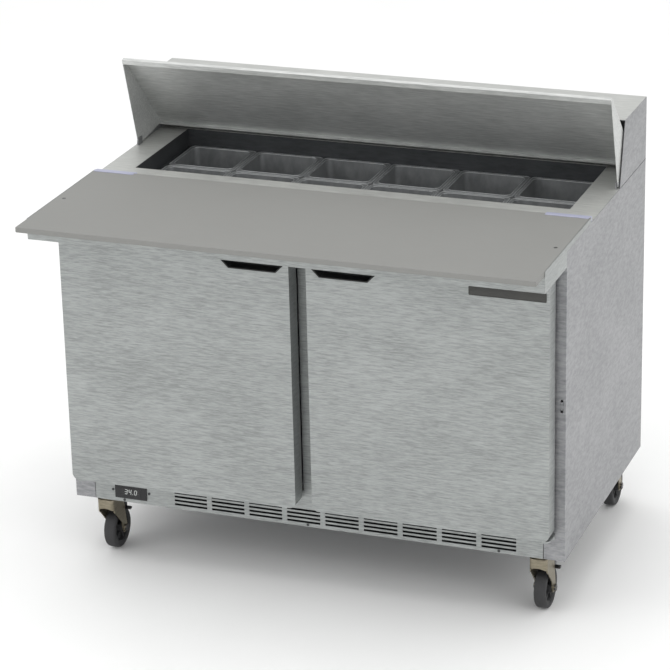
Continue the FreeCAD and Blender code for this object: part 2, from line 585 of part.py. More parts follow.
fanMidZ = "(condLow + condTall/2)"
shroudY = "(condY + condDeep)"
core = box("condX - condHalf", "condY", "condLow", "2*condHalf", "condDeep", "condTall")
feetPlate = box("condX - condHalf", "condY", "sheet", "2*condHalf", "condDeep", "condLow - sheet")
shroud = box("condX - condHalf", shroudY, "condLow", "2*condHalf", "fanGap + fanDeep + shroudThick",
             "condTall")
fanTunnel = rod("Y", "condX", shroudY, fanMidZ, "fanRad + fanGap", "4*fanDeep")
motorY = shroudY + " + 2*fanGap + fanDeep"
motor = rod("Y", "condX", motorY, fanMidZ, "motorRad", "motorDeep")
spindle = rod("Y", "condX", shroudY + " + fanGap", fanMidZ, "axleRad", "motorDeep + fanDeep")
strut = box("condX - strutWide/2", motorY, "condLow", "strutWide", "shroudThick", "condTall")
lugs = [box("condX - strutWide/2", shroudY + " + fanGap + fanDeep", z, "strutWide",
            "fanGap + shroudThick", "fanGap") for z in ("condLow", "condLow + condTall - fanGap")]
part("condenser_coil", fuse(core, feetPlate, cut(shroud, fanTunnel), motor, spindle, strut, *lugs))

bore = rod("Y", "0", "-fanDeep", "0", "axleRad + runFit", "3*fanDeep", True)
hub = cut(rod("Y", "0", "0", "0", "hubRad", "fanDeep", True), bore)
bladeCount = 4
blades = []
for index in range(bladeCount):
    blade = doc.addObject("Part::Box", "blade")
    blade.setExpression("Length", bound("fanRad - hubRad*0.8"))
    blade.setExpression("Width", bound("bladeThick"))
    blade.setExpression("Height", bound("bladeWide/2"))
    pitch = FreeCAD.Rotation(FreeCAD.Vector(1, 0, 0), sizes["bladePitch"])
    around = FreeCAD.Rotation(FreeCAD.Vector(0, 1, 0), index * 360.0 / bladeCount)
    start = FreeCAD.Vector(sizes["hubRad"] * 0.8, -sizes["bladeThick"] / 2, -sizes["bladeWide"] / 4)
    tilt = FreeCAD.Placement(FreeCAD.Vector(0, sizes["fanDeep"] / 2, 0), pitch)
    blade.Placement = FreeCAD.Placement(FreeCAD.Vector(), around) * tilt * FreeCAD.Placement(
        start, FreeCAD.Rotation())
    blades.append(blade)
part("condenser_fan", place(fuse(hub, *blades), "condX", shroudY + " + fanGap/2 + sheet", fanMidZ))

socket = box("inletX + skinGap", "depth - inletDeep", "inletZ + skinGap", "inletWide - 2*skinGap",
             "inletDeep", "inletTall - 2*skinGap")
cavity = box("inletX + inletWall", "depth - inletDeep + inletWall", "inletZ + inletWall",
             "inletWide - 2*inletWall", "inletDeep", "inletTall - 2*inletWall")
prongs = [box("inletX + inletWide/2 + %d*8 - inletBlade/2" % step, "depth - inletDeep",
              "inletZ + inletTall/2 - inletBlade", "inletBlade", "inletDeep - 2*inletWall", "3*inletBlade")
          for step in (-1, 0, 1)]
part("power_inlet", fuse(cut(socket, cavity), *prongs))

# ---- casters ----------------------------------------------------------------

corners = [("front_left", "-kingX", "kingFront"), ("front_right", "kingX", "kingFront"),
           ("rear_left", "-kingX", "kingRear"), ("rear_right", "kingX", "kingRear")]

pads = []
for name, x, y in corners:
    pad = box(x + " - padHalf", y + " - padHalf", "-padThick", "2*padHalf", "2*padHalf", "padThick")
    king = rod("Z", x, y, "-kingLow", "kingRad", "kingLow")
    nut = rod("Z", x, y, "-kingLow", "nutRad", "nutTall")
    pads.append(fuse(pad, king, nut))
part("caster_plates", group(*pads))

axleY = "trail"
axleZ = "(wheelRad - baseZ)"
leg = [("-forkNose", "-forkTop"), ("forkTail", "-forkTop"), ("forkTail + legEye/2", "-legBackZ"),
       (axleY + " + legEye", axleZ), (axleY + " + legEye/2", axleZ + " - legEye*0.8"),
       (axleY + " - legEye/2", axleZ + " - legEye*0.8"), (axleY + " - legEye", axleZ),
       ("legKneeY", "-legKneeZ"), ("-forkNose*0.4", "-noseLow*1.4"), ("-forkNose", "-noseLow")]


def frontUpright(start, end):
    return upright(start, end) and max(start.Y, end.Y) < 0


def fork(x, y):
    """Pressed fork: a rounded U-shaped shell trimmed to the leg outline, race and axle bolt."""
    foot = axleZ + " - legEye"
    outer = box("-forkHalf", "-forkNose", foot, "2*forkHalf", "forkNose + trail + legEye",
                "-forkTop - (%s)" % foot, True)
    inner = box("-(forkHalf - forkThick)", "-(forkNose - forkThick)", foot + " - legEye",
                "2*(forkHalf - forkThick)", "forkNose + trail + 2*legEye",
                "-forkTop - forkThick - (%s - legEye)" % foot, True)
    bend = sizes["forkCorner"]
    shell = cut(rounded(outer, bend, frontUpright), rounded(inner, bend - sizes["forkThick"], frontUpright))
    arch = rod("Y", "0", "-forkNose - forkThick", "-archTop - archRad", "archRad", "forkCorner", True)
    side = prism("YZ_Plane", leg, "4*forkHalf", "-2*forkHalf", "0", "0", True)
    pressed = doc.addObject("Part::Common", "pressed")
    pressed.Base = shell
    pressed.Tool = side
    race = rod("Z", "0", "0", "-forkTop", "raceRad", "raceTall - sheet", True)
    axle = rod("X", "-forkHalf - axleEnd", axleY, axleZ, "axleRad", "2*(forkHalf + axleEnd)", True)
    heads = [rod("X", end, axleY, axleZ, "axleHead", "axleEnd", True)
             for end in ("-forkHalf - axleEnd", "forkHalf")]
    bore = rod("Z", "0", "0", "-2*kingLow", "kingRad + runFit", "2*kingLow", True)
    whole = fuse(cut(fuse(pressed, race), arch, bore), axle, *heads)
    return place(whole, x, y, "0")


rimProfile = [("-hubHalf", "axleRad + runFit"), ("-hubHalf", "wheelHub"), ("-webHalf", "wheelHub"),
              ("-webHalf", "rimRad"), ("-treadHalf", "rimRad"), ("-treadHalf", "wheelRad - treadEase"),
              ("-treadHalf + treadEase", "wheelRad"), ("treadHalf - treadEase", "wheelRad"),
              ("treadHalf", "wheelRad - treadEase"), ("treadHalf", "rimRad"), ("webHalf", "rimRad"),
              ("webHalf", "wheelHub"), ("hubHalf", "wheelHub"), ("hubHalf", "axleRad + runFit")]
pedal = [("brakeY - brakePin", "-brakeZ - brakeThick/2"), ("brakeY + brakeThick", "-brakeZ + brakeThick/2"),
         ("brakeTipY", "-brakeTipZ + brakeThick"), ("tabEnd", "-brakeTipZ + brakeThick"),
         ("tabEnd", "-brakeTipZ"), ("brakeTipY - brakeThick/2", "-brakeTipZ")]

for name, x, y in corners:
    part(name + "_fork", fork(x, y))
    part(name + "_wheel", spun(rimProfile, x, y + " + trail", axleZ))
    if name.startswith("front"):
        arm = prism("YZ_Plane", pedal, "2*brakeHalf", "-brakeHalf", "0", "0", True)
        pin = rod("X", "-brakeHalf - brakePin", "brakeY", "-brakeZ", "brakePin",
                  "2*(brakeHalf + brakePin)", True)
        drop = box("-brakeHalf", "brakeTipY", "-brakeTipZ", "brakeHalf + tabIn + brakeThick/2",
                   "tabEnd - brakeTipY", "brakeThick", True)
        stem = box("tabIn", "brakeTipY", "-tabLow", "brakeThick/2", "tabEnd - brakeTipY",
                   "tabLow - brakeTipZ + brakeThick", True)
        tab = box("tabIn", "brakeTipY", "-tabLow", "tabOut - tabIn", "tabEnd - brakeTipY", "brakeThick", True)
        part(name + "_brake", place(fuse(arm, pin, drop, stem, tab), x, y, "0"))

# ---- check and write ----------------------------------------------------------

doc.recompute()
broken = [item.Name for item in doc.Objects if "Invalid" in item.State or "Error" in item.State]
bad = [item.Label for item in parts if item.Shape.isNull() or not item.Shape.isValid()]
if broken or bad:
    raise SystemExit("not written: broken %s, bad shapes %s" % (broken, bad))

os.makedirs("parts", exist_ok=True)
for item in parts:
    item.Shape.exportStep("parts/%s.step" % item.Label)
    bounds = item.Shape.BoundBox
    print("%-22s solids %2d volume %10.0f  x %.1f..%.1f y %.1f..%.1f z %.1f..%.1f" % (
        item.Label, len(item.Shape.Solids), item.Shape.Volume, bounds.XMin, bounds.XMax,
        bounds.YMin, bounds.YMax, bounds.ZMin, bounds.ZMax))
print("sub-parts", len(parts))
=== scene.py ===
import bpy
import bmesh
import math
import numpy as np
from mathutils import Matrix, Vector


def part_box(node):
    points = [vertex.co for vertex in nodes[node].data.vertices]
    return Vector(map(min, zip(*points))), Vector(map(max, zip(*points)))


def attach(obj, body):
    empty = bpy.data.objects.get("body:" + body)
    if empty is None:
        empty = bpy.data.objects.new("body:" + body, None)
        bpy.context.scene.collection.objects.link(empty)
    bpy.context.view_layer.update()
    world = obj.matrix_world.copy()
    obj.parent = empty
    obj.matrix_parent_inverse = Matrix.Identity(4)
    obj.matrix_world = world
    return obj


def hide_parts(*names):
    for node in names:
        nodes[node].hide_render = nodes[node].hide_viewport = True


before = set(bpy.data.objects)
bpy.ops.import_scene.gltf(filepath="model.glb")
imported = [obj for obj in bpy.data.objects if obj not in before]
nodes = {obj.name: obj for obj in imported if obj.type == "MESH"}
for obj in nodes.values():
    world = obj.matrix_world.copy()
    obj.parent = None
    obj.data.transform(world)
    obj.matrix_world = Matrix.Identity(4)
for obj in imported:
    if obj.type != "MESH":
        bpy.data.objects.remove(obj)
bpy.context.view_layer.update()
print("frame loaded:", len(nodes), "nodes")


viewSettings = {
    "place": (2.2090, -5.9225, 3.0391), "lens": 154.44, "sensor": 36.0,
    "turnLeft": 0.3609, "tiltUp": -0.3751, "roll": -0.0243, "farthest": 60,
}


def makeCamera(look):
    # line of sight from the turn and the tilt, then right and up rolled about it
    turn, tilt, roll = look["turnLeft"], look["tiltUp"], look["roll"]
    ahead = Vector((-math.sin(turn) * math.cos(tilt), math.cos(turn) * math.cos(tilt), math.sin(tilt)))
    level = Vector((math.cos(turn), math.sin(turn), 0))
    upright = level.cross(ahead)
    right = level * math.cos(roll) + upright * math.sin(roll)
    up = upright * math.cos(roll) - level * math.sin(roll)
    data = bpy.data.cameras.new("productCamera")
    data.lens, data.sensor_width = look["lens"], look["sensor"]
    data.clip_end = look["farthest"]
    camera = bpy.data.objects.new("productCamera", data)
    turned = Matrix((right, up, -ahead)).transposed().to_4x4()
    camera.matrix_world = Matrix.Translation(look["place"]) @ turned
    bpy.context.scene.collection.objects.link(camera)
    bpy.context.scene.camera = camera


makeCamera(viewSettings)


def toLinear(hexText):
    # sRGB hex value to linear colour: a straight foot, then a power of 2.4
    parts = np.array([int(hexText[at:at + 2], 16) for at in (1, 3, 5)]) / 255
    linear = np.where(parts <= 0.04045, parts / 12.92, ((parts + 0.055) / 1.055) ** 2.4)
    return tuple(float(part) for part in linear) + (1.0,)


def addNode(tree, kind, settings=None, links=None):
    # one node: settings are attributes or input values, links are input -> output socket
    made = tree.nodes.new(kind)
    for name, value in (settings or {}).items():
        if isinstance(name, int) or name in made.inputs:
            made.inputs[name].default_value = value
        else:
            setattr(made, name, value)
    for name, socket in (links or {}).items():
        tree.links.new(socket, made.inputs[name])
    return made


def setRamp(ramp, places, hexes):
    # two colours on a ramp
    for element, place, hexText in zip(ramp.color_ramp.elements, places, hexes):
        element.position, element.color = place, toLinear(hexText)


studio = {
    "skyTop": "#FFFFFF", "skySide": "#D8DADC", "skyPower": 1.06, "skyTopFrom": 0.75, "floorReach": 30,
    "lamps": {
        "overheadSoftbox": {"place": (0.0, -0.6, 4.6), "aim": (0, 0.1, 0.9), "size": 3.4, "watts": 42},
        "leftSoftbox": {"place": (-3.6, -3.4, 2.6), "aim": (0, 0, 0.6), "size": 2.6, "watts": 24},
        "rightSoftbox": {"place": (4.4, -2.0, 2.4), "aim": (0.2, 0, 0.6), "size": 2.8, "watts": 26},
    },
}


def makeStudio(look):
    world = bpy.data.worlds.new("studio")
    bpy.context.scene.world = world
    world.use_nodes = True
    tree = world.node_tree
    tree.nodes.clear()
    # brighter overhead than at the horizon, as under a ceiling softbox
    place = addNode(tree, "ShaderNodeTexCoord")
    split = addNode(tree, "ShaderNodeSeparateXYZ", links={"Vector": place.outputs["Generated"]})
    ramp = addNode(tree, "ShaderNodeValToRGB", links={"Fac": split.outputs["Z"]})
    setRamp(ramp, (0.0, look["skyTopFrom"]), (look["skySide"], look["skyTop"]))
    sky = addNode(tree, "ShaderNodeBackground", {"Strength": look["skyPower"]},
                  {"Color": ramp.outputs["Color"]})
    addNode(tree, "ShaderNodeOutputWorld", links={"Surface": sky.outputs["Background"]})
    for name, lamp in look["lamps"].items():
        data = bpy.data.lights.new(name, "AREA")
        data.size, data.energy = lamp["size"], lamp["watts"]
        light = bpy.data.objects.new(name, data)
        aim = Vector(lamp["aim"]) - Vector(lamp["place"])
        turned = aim.to_track_quat("-Z", "Y").to_matrix().to_4x4()
        light.matrix_world = Matrix.Translation(lamp["place"]) @ turned
        bpy.context.scene.collection.objects.link(light)
    bpy.context.scene.view_settings.view_transform = "Standard"


makeStudio(studio)


# what each surface is, how it was made and what the eye sees:
# hex colours low/high, metallic, roughness range, pattern scale per metre (x, y, z),
# relief in metres and, where it shows, a broader cloud over it
looks = {
    # brushed stainless sheet: short level streaks about 25 mm long, 2 mm tall
    "brushedStainless": {"low": "#8B8E8D", "high": "#B0B3B2", "metallic": 0.7, "rough": (0.38, 0.52),
                         "scale": (38, 38, 420), "relief": 0.00012, "cloud": (5, 5, 9)},
    # side sheets, brushed across: a finer, cooler mottle
    "sideStainless": {"low": "#8A8B8D", "high": "#ABABAD", "metallic": 0.8, "rough": (0.42, 0.55),
                      "scale": (45, 55, 160), "relief": 0.0001, "cloud": (6, 6, 8)},
    # lid sheet: long soft brushing; its colour is a lighter copy of the steel as painted light, and its cloud
    # a painted reflection
    "lidPaintedLightStainless": {"low": "#B9BBB9", "high": "#D9DAD8", "metallic": 0.45, "rough": (0.42, 0.55),
                     "scale": (26, 240, 240), "relief": 0.00008, "cloud": (7, 9, 9)},
    # deck and hood top: satin sheet, brushed along the width, in a lighter copy of the steel as painted light
    # on the upward faces
    "deckPaintedLightStainless": {"low": "#AEAFAC", "high": "#C6C7C3", "metallic": 0.45, "rough": (0.42, 0.55),
                      "scale": (24, 300, 300), "relief": 0.00008, "cloud": (6, 8, 8)},
    # deep drawn well sheet: smoother, its colour darkened as painted shade inside the recessed well
    "wellShadedStainless": {"low": "#47494B", "high": "#545658", "metallic": 0.6, "rough": (0.45, 0.6),
                      "scale": (40, 200, 200), "relief": 0.00005, "cloud": (9, 9, 9)},
    # pressed food pans: satin steel with drawing marks down the walls, its colour darkened as painted shade
    # inside the pans
    "panStainless": {"low": "#7F8182", "high": "#909293", "metallic": 0.4, "rough": (0.36, 0.5),
                     "scale": (60, 60, 30), "relief": 0.00005, "cloud": (14, 14, 14)},
    # rolled pan edges, made lighter than the pans as a painted highlight along the rims
    "panBright": {"low": "#B4B6B7", "high": "#CDCFD0", "metallic": 0.6, "rough": (0.26, 0.36),
                  "scale": (120, 120, 120), "relief": 0.00003, "cloud": (14, 14, 14)},
    # hot dip zinc: spangled dull grey crystals about 8 mm across
    "galvanisedSheet": {"low": "#969A9C", "high": "#A4A8A9", "metallic": 0.9, "rough": (0.42, 0.6),
                        "scale": (120, 120, 120), "relief": 0.00004, "cloud": (5, 5, 5), "spangle": 90},
    # yellow passivated zinc plate on the caster steel
    "zincPlate": {"low": "#7C7564", "high": "#9C9482", "metallic": 0.8, "rough": (0.3, 0.45),
                  "scale": (60, 60, 300), "relief": 0.00004, "cloud": (24, 24, 24)},
    # thick grey polymer board: flat matte, very fine planing grain
    "boardPolymer": {"low": "#838380", "high": "#888885", "metallic": 0.0, "rough": (0.6, 0.72),
                     "scale": (30, 500, 500), "relief": 0.00003, "cloud": (5, 5, 5)},
    # moulded black ABS: fine leather-like texture
    "blackMoulding": {"low": "#1B1B1B", "high": "#262626", "metallic": 0.0, "rough": (0.5, 0.65),
                      "scale": (900, 900, 900), "relief": 0.00005, "cloud": (20, 20, 20)},
    # controller case: charcoal ABS
    "charcoalMoulding": {"low": "#1E1E20", "high": "#29292B", "metallic": 0.0, "rough": (0.5, 0.62),
                         "scale": (800, 800, 800), "relief": 0.00004, "cloud": (30, 30, 30)},
    # display lens: smoked acrylic, nearly even
    "smokedAcrylic": {"low": "#1C1C1E", "high": "#232325", "metallic": 0.0, "rough": (0.16, 0.24),
                      "scale": (200, 200, 200), "relief": 0.000004, "cloud": (30, 30, 30)},
    # joint sealant: dark, dull and slightly uneven
    "jointSealant": {"low": "#3A3A3B", "high": "#4B4B4C", "metallic": 0.0, "rough": (0.6, 0.75),
                     "scale": (90, 90, 90), "relief": 0.0002, "cloud": (12, 12, 12)},
    # extruded magnetic gasket: dull grey vinyl, lightened as painted light for the shaded gap between the
    # doors
    "gasketVinylPaintedLight": {"low": "#7C7E80", "high": "#898B8D", "metallic": 0.0, "rough": (0.55, 0.7),
                    "scale": (300, 300, 300), "relief": 0.00005, "cloud": (12, 12, 12)},
    # grey non-marking wheel rubber, slightly dusty
    "wheelRubber": {"low": "#303031", "high": "#3B3B3C", "metallic": 0.0, "rough": (0.6, 0.78),
                    "scale": (420, 420, 420), "relief": 0.00008, "cloud": (30, 30, 30)},
    # wheel core: moulded dark polymer
    "wheelPolymer": {"low": "#262627", "high": "#313132", "metallic": 0.0, "rough": (0.45, 0.6),
                     "scale": (500, 500, 500), "relief": 0.00005, "cloud": (40, 40, 40)},
    # hinge block at the board's ends: smooth pale grey polymer with a lilac tint that is a painted reflection
    "paleBracketPaintedReflection": {"low": "#A2A4B8", "high": "#A9ABC0", "metallic": 0.0, "rough": (0.35, 0.45),
                    "scale": (300, 300, 300), "relief": 0.00002, "cloud": (20, 20, 20)},
    # embossed aluminium inner sheet: fine pebble
    "linerAluminium": {"low": "#B4B6B8", "high": "#CDCFD0", "metallic": 0.95, "rough": (0.4, 0.55),
                       "scale": (260, 260, 260), "relief": 0.00018, "cloud": (6, 6, 6)},
    # thin rolled fin stock
    "finAluminium": {"low": "#A2A6A9", "high": "#C2C6C8", "metallic": 1.0, "rough": (0.3, 0.42),
                     "scale": (200, 200, 900), "relief": 0.00003, "cloud": (30, 30, 30)},
    # drawn copper tube, lightly oxidised
    "copperTube": {"low": "#8A5638", "high": "#B97A52", "metallic": 1.0, "rough": (0.28, 0.4),
                   "scale": (300, 300, 300), "relief": 0.00003, "cloud": (40, 40, 40)},
    # compressor can: sprayed black enamel with slight orange peel
    "blackEnamel": {"low": "#141415", "high": "#202022", "metallic": 0.0, "rough": (0.28, 0.4),
                    "scale": (350, 350, 350), "relief": 0.00005, "cloud": (18, 18, 18)},
    # dipped white coating over shelf wire
    "wireCoating": {"low": "#D6D7D4", "high": "#E4E5E2", "metallic": 0.0, "rough": (0.35, 0.5),
                    "scale": (260, 260, 260), "relief": 0.00005, "cloud": (20, 20, 20)},
    # machined and polished fastener steel
    "screwSteel": {"low": "#4A4A4B", "high": "#606062", "metallic": 1.0, "rough": (0.28, 0.4),
                   "scale": (700, 700, 700), "relief": 0.00002, "cloud": (60, 60, 60)},
    # blank plate: fine brushed, anodised warm grey
    "blankPlate": {"low": "#444442", "high": "#51514F", "metallic": 0.7, "rough": (0.36, 0.48),
                   "scale": (60, 60, 900), "relief": 0.00003, "cloud": (25, 25, 25)},
    # dull dark colour on the base pan behind the grille: painted shade standing in for the unlit machine room
    "machineRoomPaintedShade": {"low": "#232425", "high": "#2E2F30", "metallic": 0.0, "rough": (0.7, 0.85),
                  "scale": (150, 150, 150), "relief": 0.00004, "cloud": (10, 10, 10)},
    # lit segments of the display: even pale glow
    "litSegment": {"low": "#C9CBC9", "high": "#D8DAD8", "metallic": 0.0, "rough": (0.4, 0.5),
                   "scale": (500, 500, 500), "relief": 0.000002, "cloud": (60, 60, 60),
                   "glow": "#BFC2C0", "glowPower": 0.12},
    # studio floor: matte pale paint
    "paleFloor": {"low": "#FAFAF9", "high": "#FCFCFB", "metallic": 0.0, "rough": (0.7, 0.8),
                  "scale": (3, 3, 3), "relief": 0.00001, "cloud": (0.5, 0.5, 0.5)},
}
# how the fine grain and the cloud mix, and which part of the mix the colours and roughness span
mixing = {"detail": 4.0, "grainRough": 0.62, "cloudDetail": 2.0, "cloudShare": 0.3,
          "colourSpan": (0.46, 0.84), "roughSpan": (0.4, 0.9), "bump": 0.6}


def makeFinish(name, look):
    # pattern = grain + a share of the cloud, for colour and roughness; the grain alone gives the relief
    material = bpy.data.materials.new(name)
    material.use_nodes = True
    tree = material.node_tree
    tree.nodes.clear()
    place = addNode(tree, "ShaderNodeTexCoord").outputs["Object"]
    fineMap = addNode(tree, "ShaderNodeMapping", {"Scale": look["scale"]}, {"Vector": place})
    fine = addNode(tree, "ShaderNodeTexNoise",
                   {"Scale": 1.0, "Detail": mixing["detail"], "Roughness": mixing["grainRough"]},
                   {"Vector": fineMap.outputs["Vector"]})
    cloudMap = addNode(tree, "ShaderNodeMapping", {"Scale": look["cloud"]}, {"Vector": place})
    cloud = addNode(tree, "ShaderNodeTexNoise", {"Scale": 1.0, "Detail": mixing["cloudDetail"]},
                    {"Vector": cloudMap.outputs["Vector"]})
    grain = fine.outputs["Fac"]
    if "spangle" in look:
        crystals = addNode(tree, "ShaderNodeTexVoronoi", {"Scale": look["spangle"]}, {"Vector": place})
        grain = crystals.outputs["Distance"]
    pattern = addNode(tree, "ShaderNodeMath", {"operation": "MULTIPLY_ADD", 1: mixing["cloudShare"]},
                      {0: cloud.outputs["Fac"], 2: grain})
    ramp = addNode(tree, "ShaderNodeValToRGB", links={"Fac": pattern.outputs["Value"]})
    setRamp(ramp, mixing["colourSpan"], (look["low"], look["high"]))
    dull = addNode(tree, "ShaderNodeMapRange",
                   {"From Min": mixing["roughSpan"][0], "From Max": mixing["roughSpan"][1],
                    "To Min": look["rough"][0], "To Max": look["rough"][1]},
                   {"Value": pattern.outputs["Value"]})
    relief = addNode(tree, "ShaderNodeBump", {"Strength": mixing["bump"], "Distance": look["relief"]},
                     {"Height": fine.outputs["Fac"]})
    shader = addNode(tree, "ShaderNodeBsdfPrincipled", {"Metallic": look["metallic"]},
                     {"Base Color": ramp.outputs["Color"], "Roughness": dull.outputs["Result"],
                      "Normal": relief.outputs["Normal"]})
    if "glow" in look:
        shader.inputs["Emission Color"].default_value = toLinear(look["glow"])
        shader.inputs["Emission Strength"].default_value = look["glowPower"]
    addNode(tree, "ShaderNodeOutputMaterial", links={"Surface": shader.outputs["BSDF"]})
    return material


finishes = {name: makeFinish(name, look) for name, look in looks.items()}
print("materials made:", len(finishes))

corners = ("front_left", "front_right", "rear_left", "rear_right")
pans = ["%s_pan_%d" % (rank, index) for rank in ("front", "rear") for index in range(1, 7)]
finishOf = {
    "left_side_panel": "sideStainless", "right_side_panel": "sideStainless", "rear_panel": "galvanisedSheet",
    # base_pan takes the machine room's painted shade; top_deck takes the deck finish lightened as painted
    # light
    "base_pan": "machineRoomPaintedShade", "top_deck": "deckPaintedLightStainless", "door_frame": "brushedStainless",
    "grille_panel": "brushedStainless", "panel_screws": "screwSteel",
    "controller_housing": "charcoalMoulding", "display_window": "smokedAcrylic",
    # pan_well takes the well finish, darkened as painted shade
    "insulated_liner": "linerAluminium", "pan_well": "wellShadedStainless",
    "pan_divider_bars": "panStainless", "rear_hood": "sideStainless", "lid_pivots": "sideStainless",
    # lid_shell takes the lid finish, lightened as painted light
    "lid_shell": "lidPaintedLightStainless", "board_tray": "brushedStainless", "board_pins": "screwSteel",
    # board_brackets take the pale finish with a painted reflection tint
    "board_brackets": "paleBracketPaintedReflection", "cutting_board": "boardPolymer", "hinge_brackets": "brushedStainless",
    "shelf_pilasters": "finAluminium", "wire_shelves": "wireCoating", "compressor": "blackEnamel",
    "condenser_coil": "finAluminium", "condenser_fan": "blackMoulding", "evaporator_coil": "finAluminium",
    "power_inlet": "blackMoulding", "caster_plates": "zincPlate", "nameplate": "blankPlate",
}
for side in ("left", "right"):
    finishOf[side + "_door_skin"] = "brushedStainless"
    finishOf[side + "_door_core"] = "linerAluminium"
    finishOf[side + "_door_handle"] = "blackMoulding"
    # the gasket vinyl is lightened as painted light in the door gap
    finishOf[side + "_door_gasket"] = "gasketVinylPaintedLight"
for corner in corners:
    finishOf[corner + "_fork"] = "zincPlate"
    finishOf[corner + "_wheel"] = "wheelRubber"
    finishOf[corner + "_brake"] = "blackEnamel"
# the pans take the steel finish darkened as painted shade
for name in pans:
    finishOf[name] = "panStainless"

# bent sheet edges on the CAD nodes, metres: points closer than the weld are one, and an edge is
# rounded where its faces turn by more than the sharp angle
easing = {"weld": 0.00002, "segments": 2, "sharpDegrees": 50}
edgeEase = {"board_tray": 0.0005, "rear_hood": 0.0012, "lid_shell": 0.0005,
            "top_deck": 0.0005, "left_side_panel": 0.0005, "right_side_panel": 0.0005,
            "left_door_skin": 0.0005, "right_door_skin": 0.0005, "left_door_handle": 0.0008,
            "right_door_handle": 0.0008, "board_brackets": 0.0015, "hinge_brackets": 0.0006,
            "controller_housing": 0.0008, "nameplate": 0.0005, "pan_divider_bars": 0.0008}
for corner in corners:
    edgeEase[corner + "_fork"] = 0.0008
    edgeEase[corner + "_brake"] = 0.001


def easeEdges(thing, width, segments):
    # round every edge that is sharper than the limit
    ease = thing.modifiers.new("ease", "BEVEL")
    ease.width, ease.segments = width, segments
    ease.limit_method, ease.angle_limit = "ANGLE", math.radians(easing["sharpDegrees"])


for name, thing in nodes.items():
    thing.data.materials.clear()
    # nodes missing from the table fall back to the well finish, darkened as painted shade
    thing.data.materials.append(finishes[finishOf.get(name, "wellShadedStainless")])
    if name in edgeEase:
        weld = thing.modifiers.new("weld", "WELD")
        weld.merge_threshold = easing["weld"]
        easeEdges(thing, edgeEase[name], easing["segments"])
print("CAD nodes finished")


# every surface below is a grid of points worked out as whole arrays

def gridFaces(rows, columns, closeRows=False, closeColumns=True):
    # quads between neighbouring points of a rows x columns grid
    rowCount = rows if closeRows else rows - 1
    columnCount = columns if closeColumns else columns - 1
    up = np.arange(rowCount)[:, None]
    along = np.arange(columnCount)[None, :]
    nextUp = (up + 1) % rows
    nextAlong = (along + 1) % columns
    quads = np.stack([up * columns + along, up * columns + nextAlong,
                      nextUp * columns + nextAlong, nextUp * columns + along], axis=-1)
    return quads.reshape(-1, 4)


def shell(grid, closeRows=False, closeColumns=True):
    # grid (rows, columns, 3) to (points, faces); the two open ends get a flat cap
    rows, columns = grid.shape[:2]
    faces = gridFaces(rows, columns, closeRows, closeColumns).tolist()
    number = np.arange(rows * columns).reshape(rows, columns)
    if closeColumns and not closeRows:
        faces += [number[0, ::-1].tolist(), number[-1].tolist()]
    if closeRows and not closeColumns:
        faces += [number[::-1, 0].tolist(), number[:, -1].tolist()]
    return grid.reshape(-1, 3), faces


def addPiece(name, shells, body, finish, standsFor=(), smoothAngle=35):
    # shells joined into one mesh: doubles merged, faces turned outwards, soft below the smooth angle
    offset, points, faces = 0, [], []
    for some, quads in shells:
        points.append(some)
        faces.extend(np.add(face, offset).tolist() for face in quads)
        offset += len(some)
    mesh = bpy.data.meshes.new(name)
    mesh.from_pydata(np.concatenate(points).tolist(), [], faces)
    work = bmesh.new()
    work.from_mesh(mesh)
    bmesh.ops.remove_doubles(work, verts=work.verts, dist=0.000001)
    bmesh.ops.recalc_face_normals(work, faces=work.faces)
    work.to_mesh(mesh)
    work.free()
    mesh.shade_smooth()
    mesh.set_sharp_from_angle(angle=math.radians(smoothAngle))
    piece = bpy.data.objects.new(name, mesh)
    bpy.context.scene.collection.objects.link(piece)
    mesh.materials.append(finishes[finish])
    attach(piece, body)
    if standsFor:
        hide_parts(*standsFor)
    return piece


def outline(halfWide, halfTall, radius, steps=6):
    # rounded rectangle: four quarter circles joined by straight sides
    turn = np.linspace(0, math.pi / 2, steps)
    arcs = []
    for quarter, (signX, signY) in enumerate(((1, 1), (-1, 1), (-1, -1), (1, -1))):
        angle = turn + quarter * math.pi / 2
        arcs.append(np.stack([signX * (halfWide - radius) + radius * np.cos(angle),
                              signY * (halfTall - radius) + radius * np.sin(angle)], axis=1))
    return np.concatenate(arcs)


axesOf = {"x": ((0, 1, 0), (0, 0, 1), (1, 0, 0)), "y": ((1, 0, 0), (0, 0, 1), (0, -1, 0)),
          "z": ((1, 0, 0), (0, 1, 0), (0, 0, 1))}


def spread(flat, axis, centre):
    # local (across, up, out) to the object's axes
    wide, tall, out = (np.array(part, float) for part in axesOf[axis])
    return np.array(centre) + flat[..., :1] * wide + flat[..., 1:2] * tall + flat[..., 2:] * out


def carried(centre, half, corner, section, axis, steps=6, closed=True, least=0.0001):
    # (inset, out) points of a section carried round a rounded rectangle, whose corner shrinks by the inset
    rings = []
    for inset, out in section:
        ring = outline(half[0] - inset, half[1] - inset, max(corner - inset, least), steps)
        rings.append(np.column_stack([ring, np.full(len(ring), out)]))
    return shell(spread(np.array(rings), axis, centre), closeRows=closed)


def slab(centre, half, low, high, radius, edge, axis, steps=6, edgeSteps=3):
    # rounded rectangle carried from low to high, its rim inset by edge*(1-sin), edge*(1-cos)
    turn = np.linspace(0, math.pi / 2, edgeSteps + 1)
    inset = np.concatenate([edge * (1 - np.sin(turn)), edge * (1 - np.cos(turn))])
    level = np.concatenate([low + edge * (1 - np.cos(turn)), high - edge * (1 - np.sin(turn))])
    return carried(centre, half, radius, np.column_stack([inset, level]), axis, steps, closed=False)


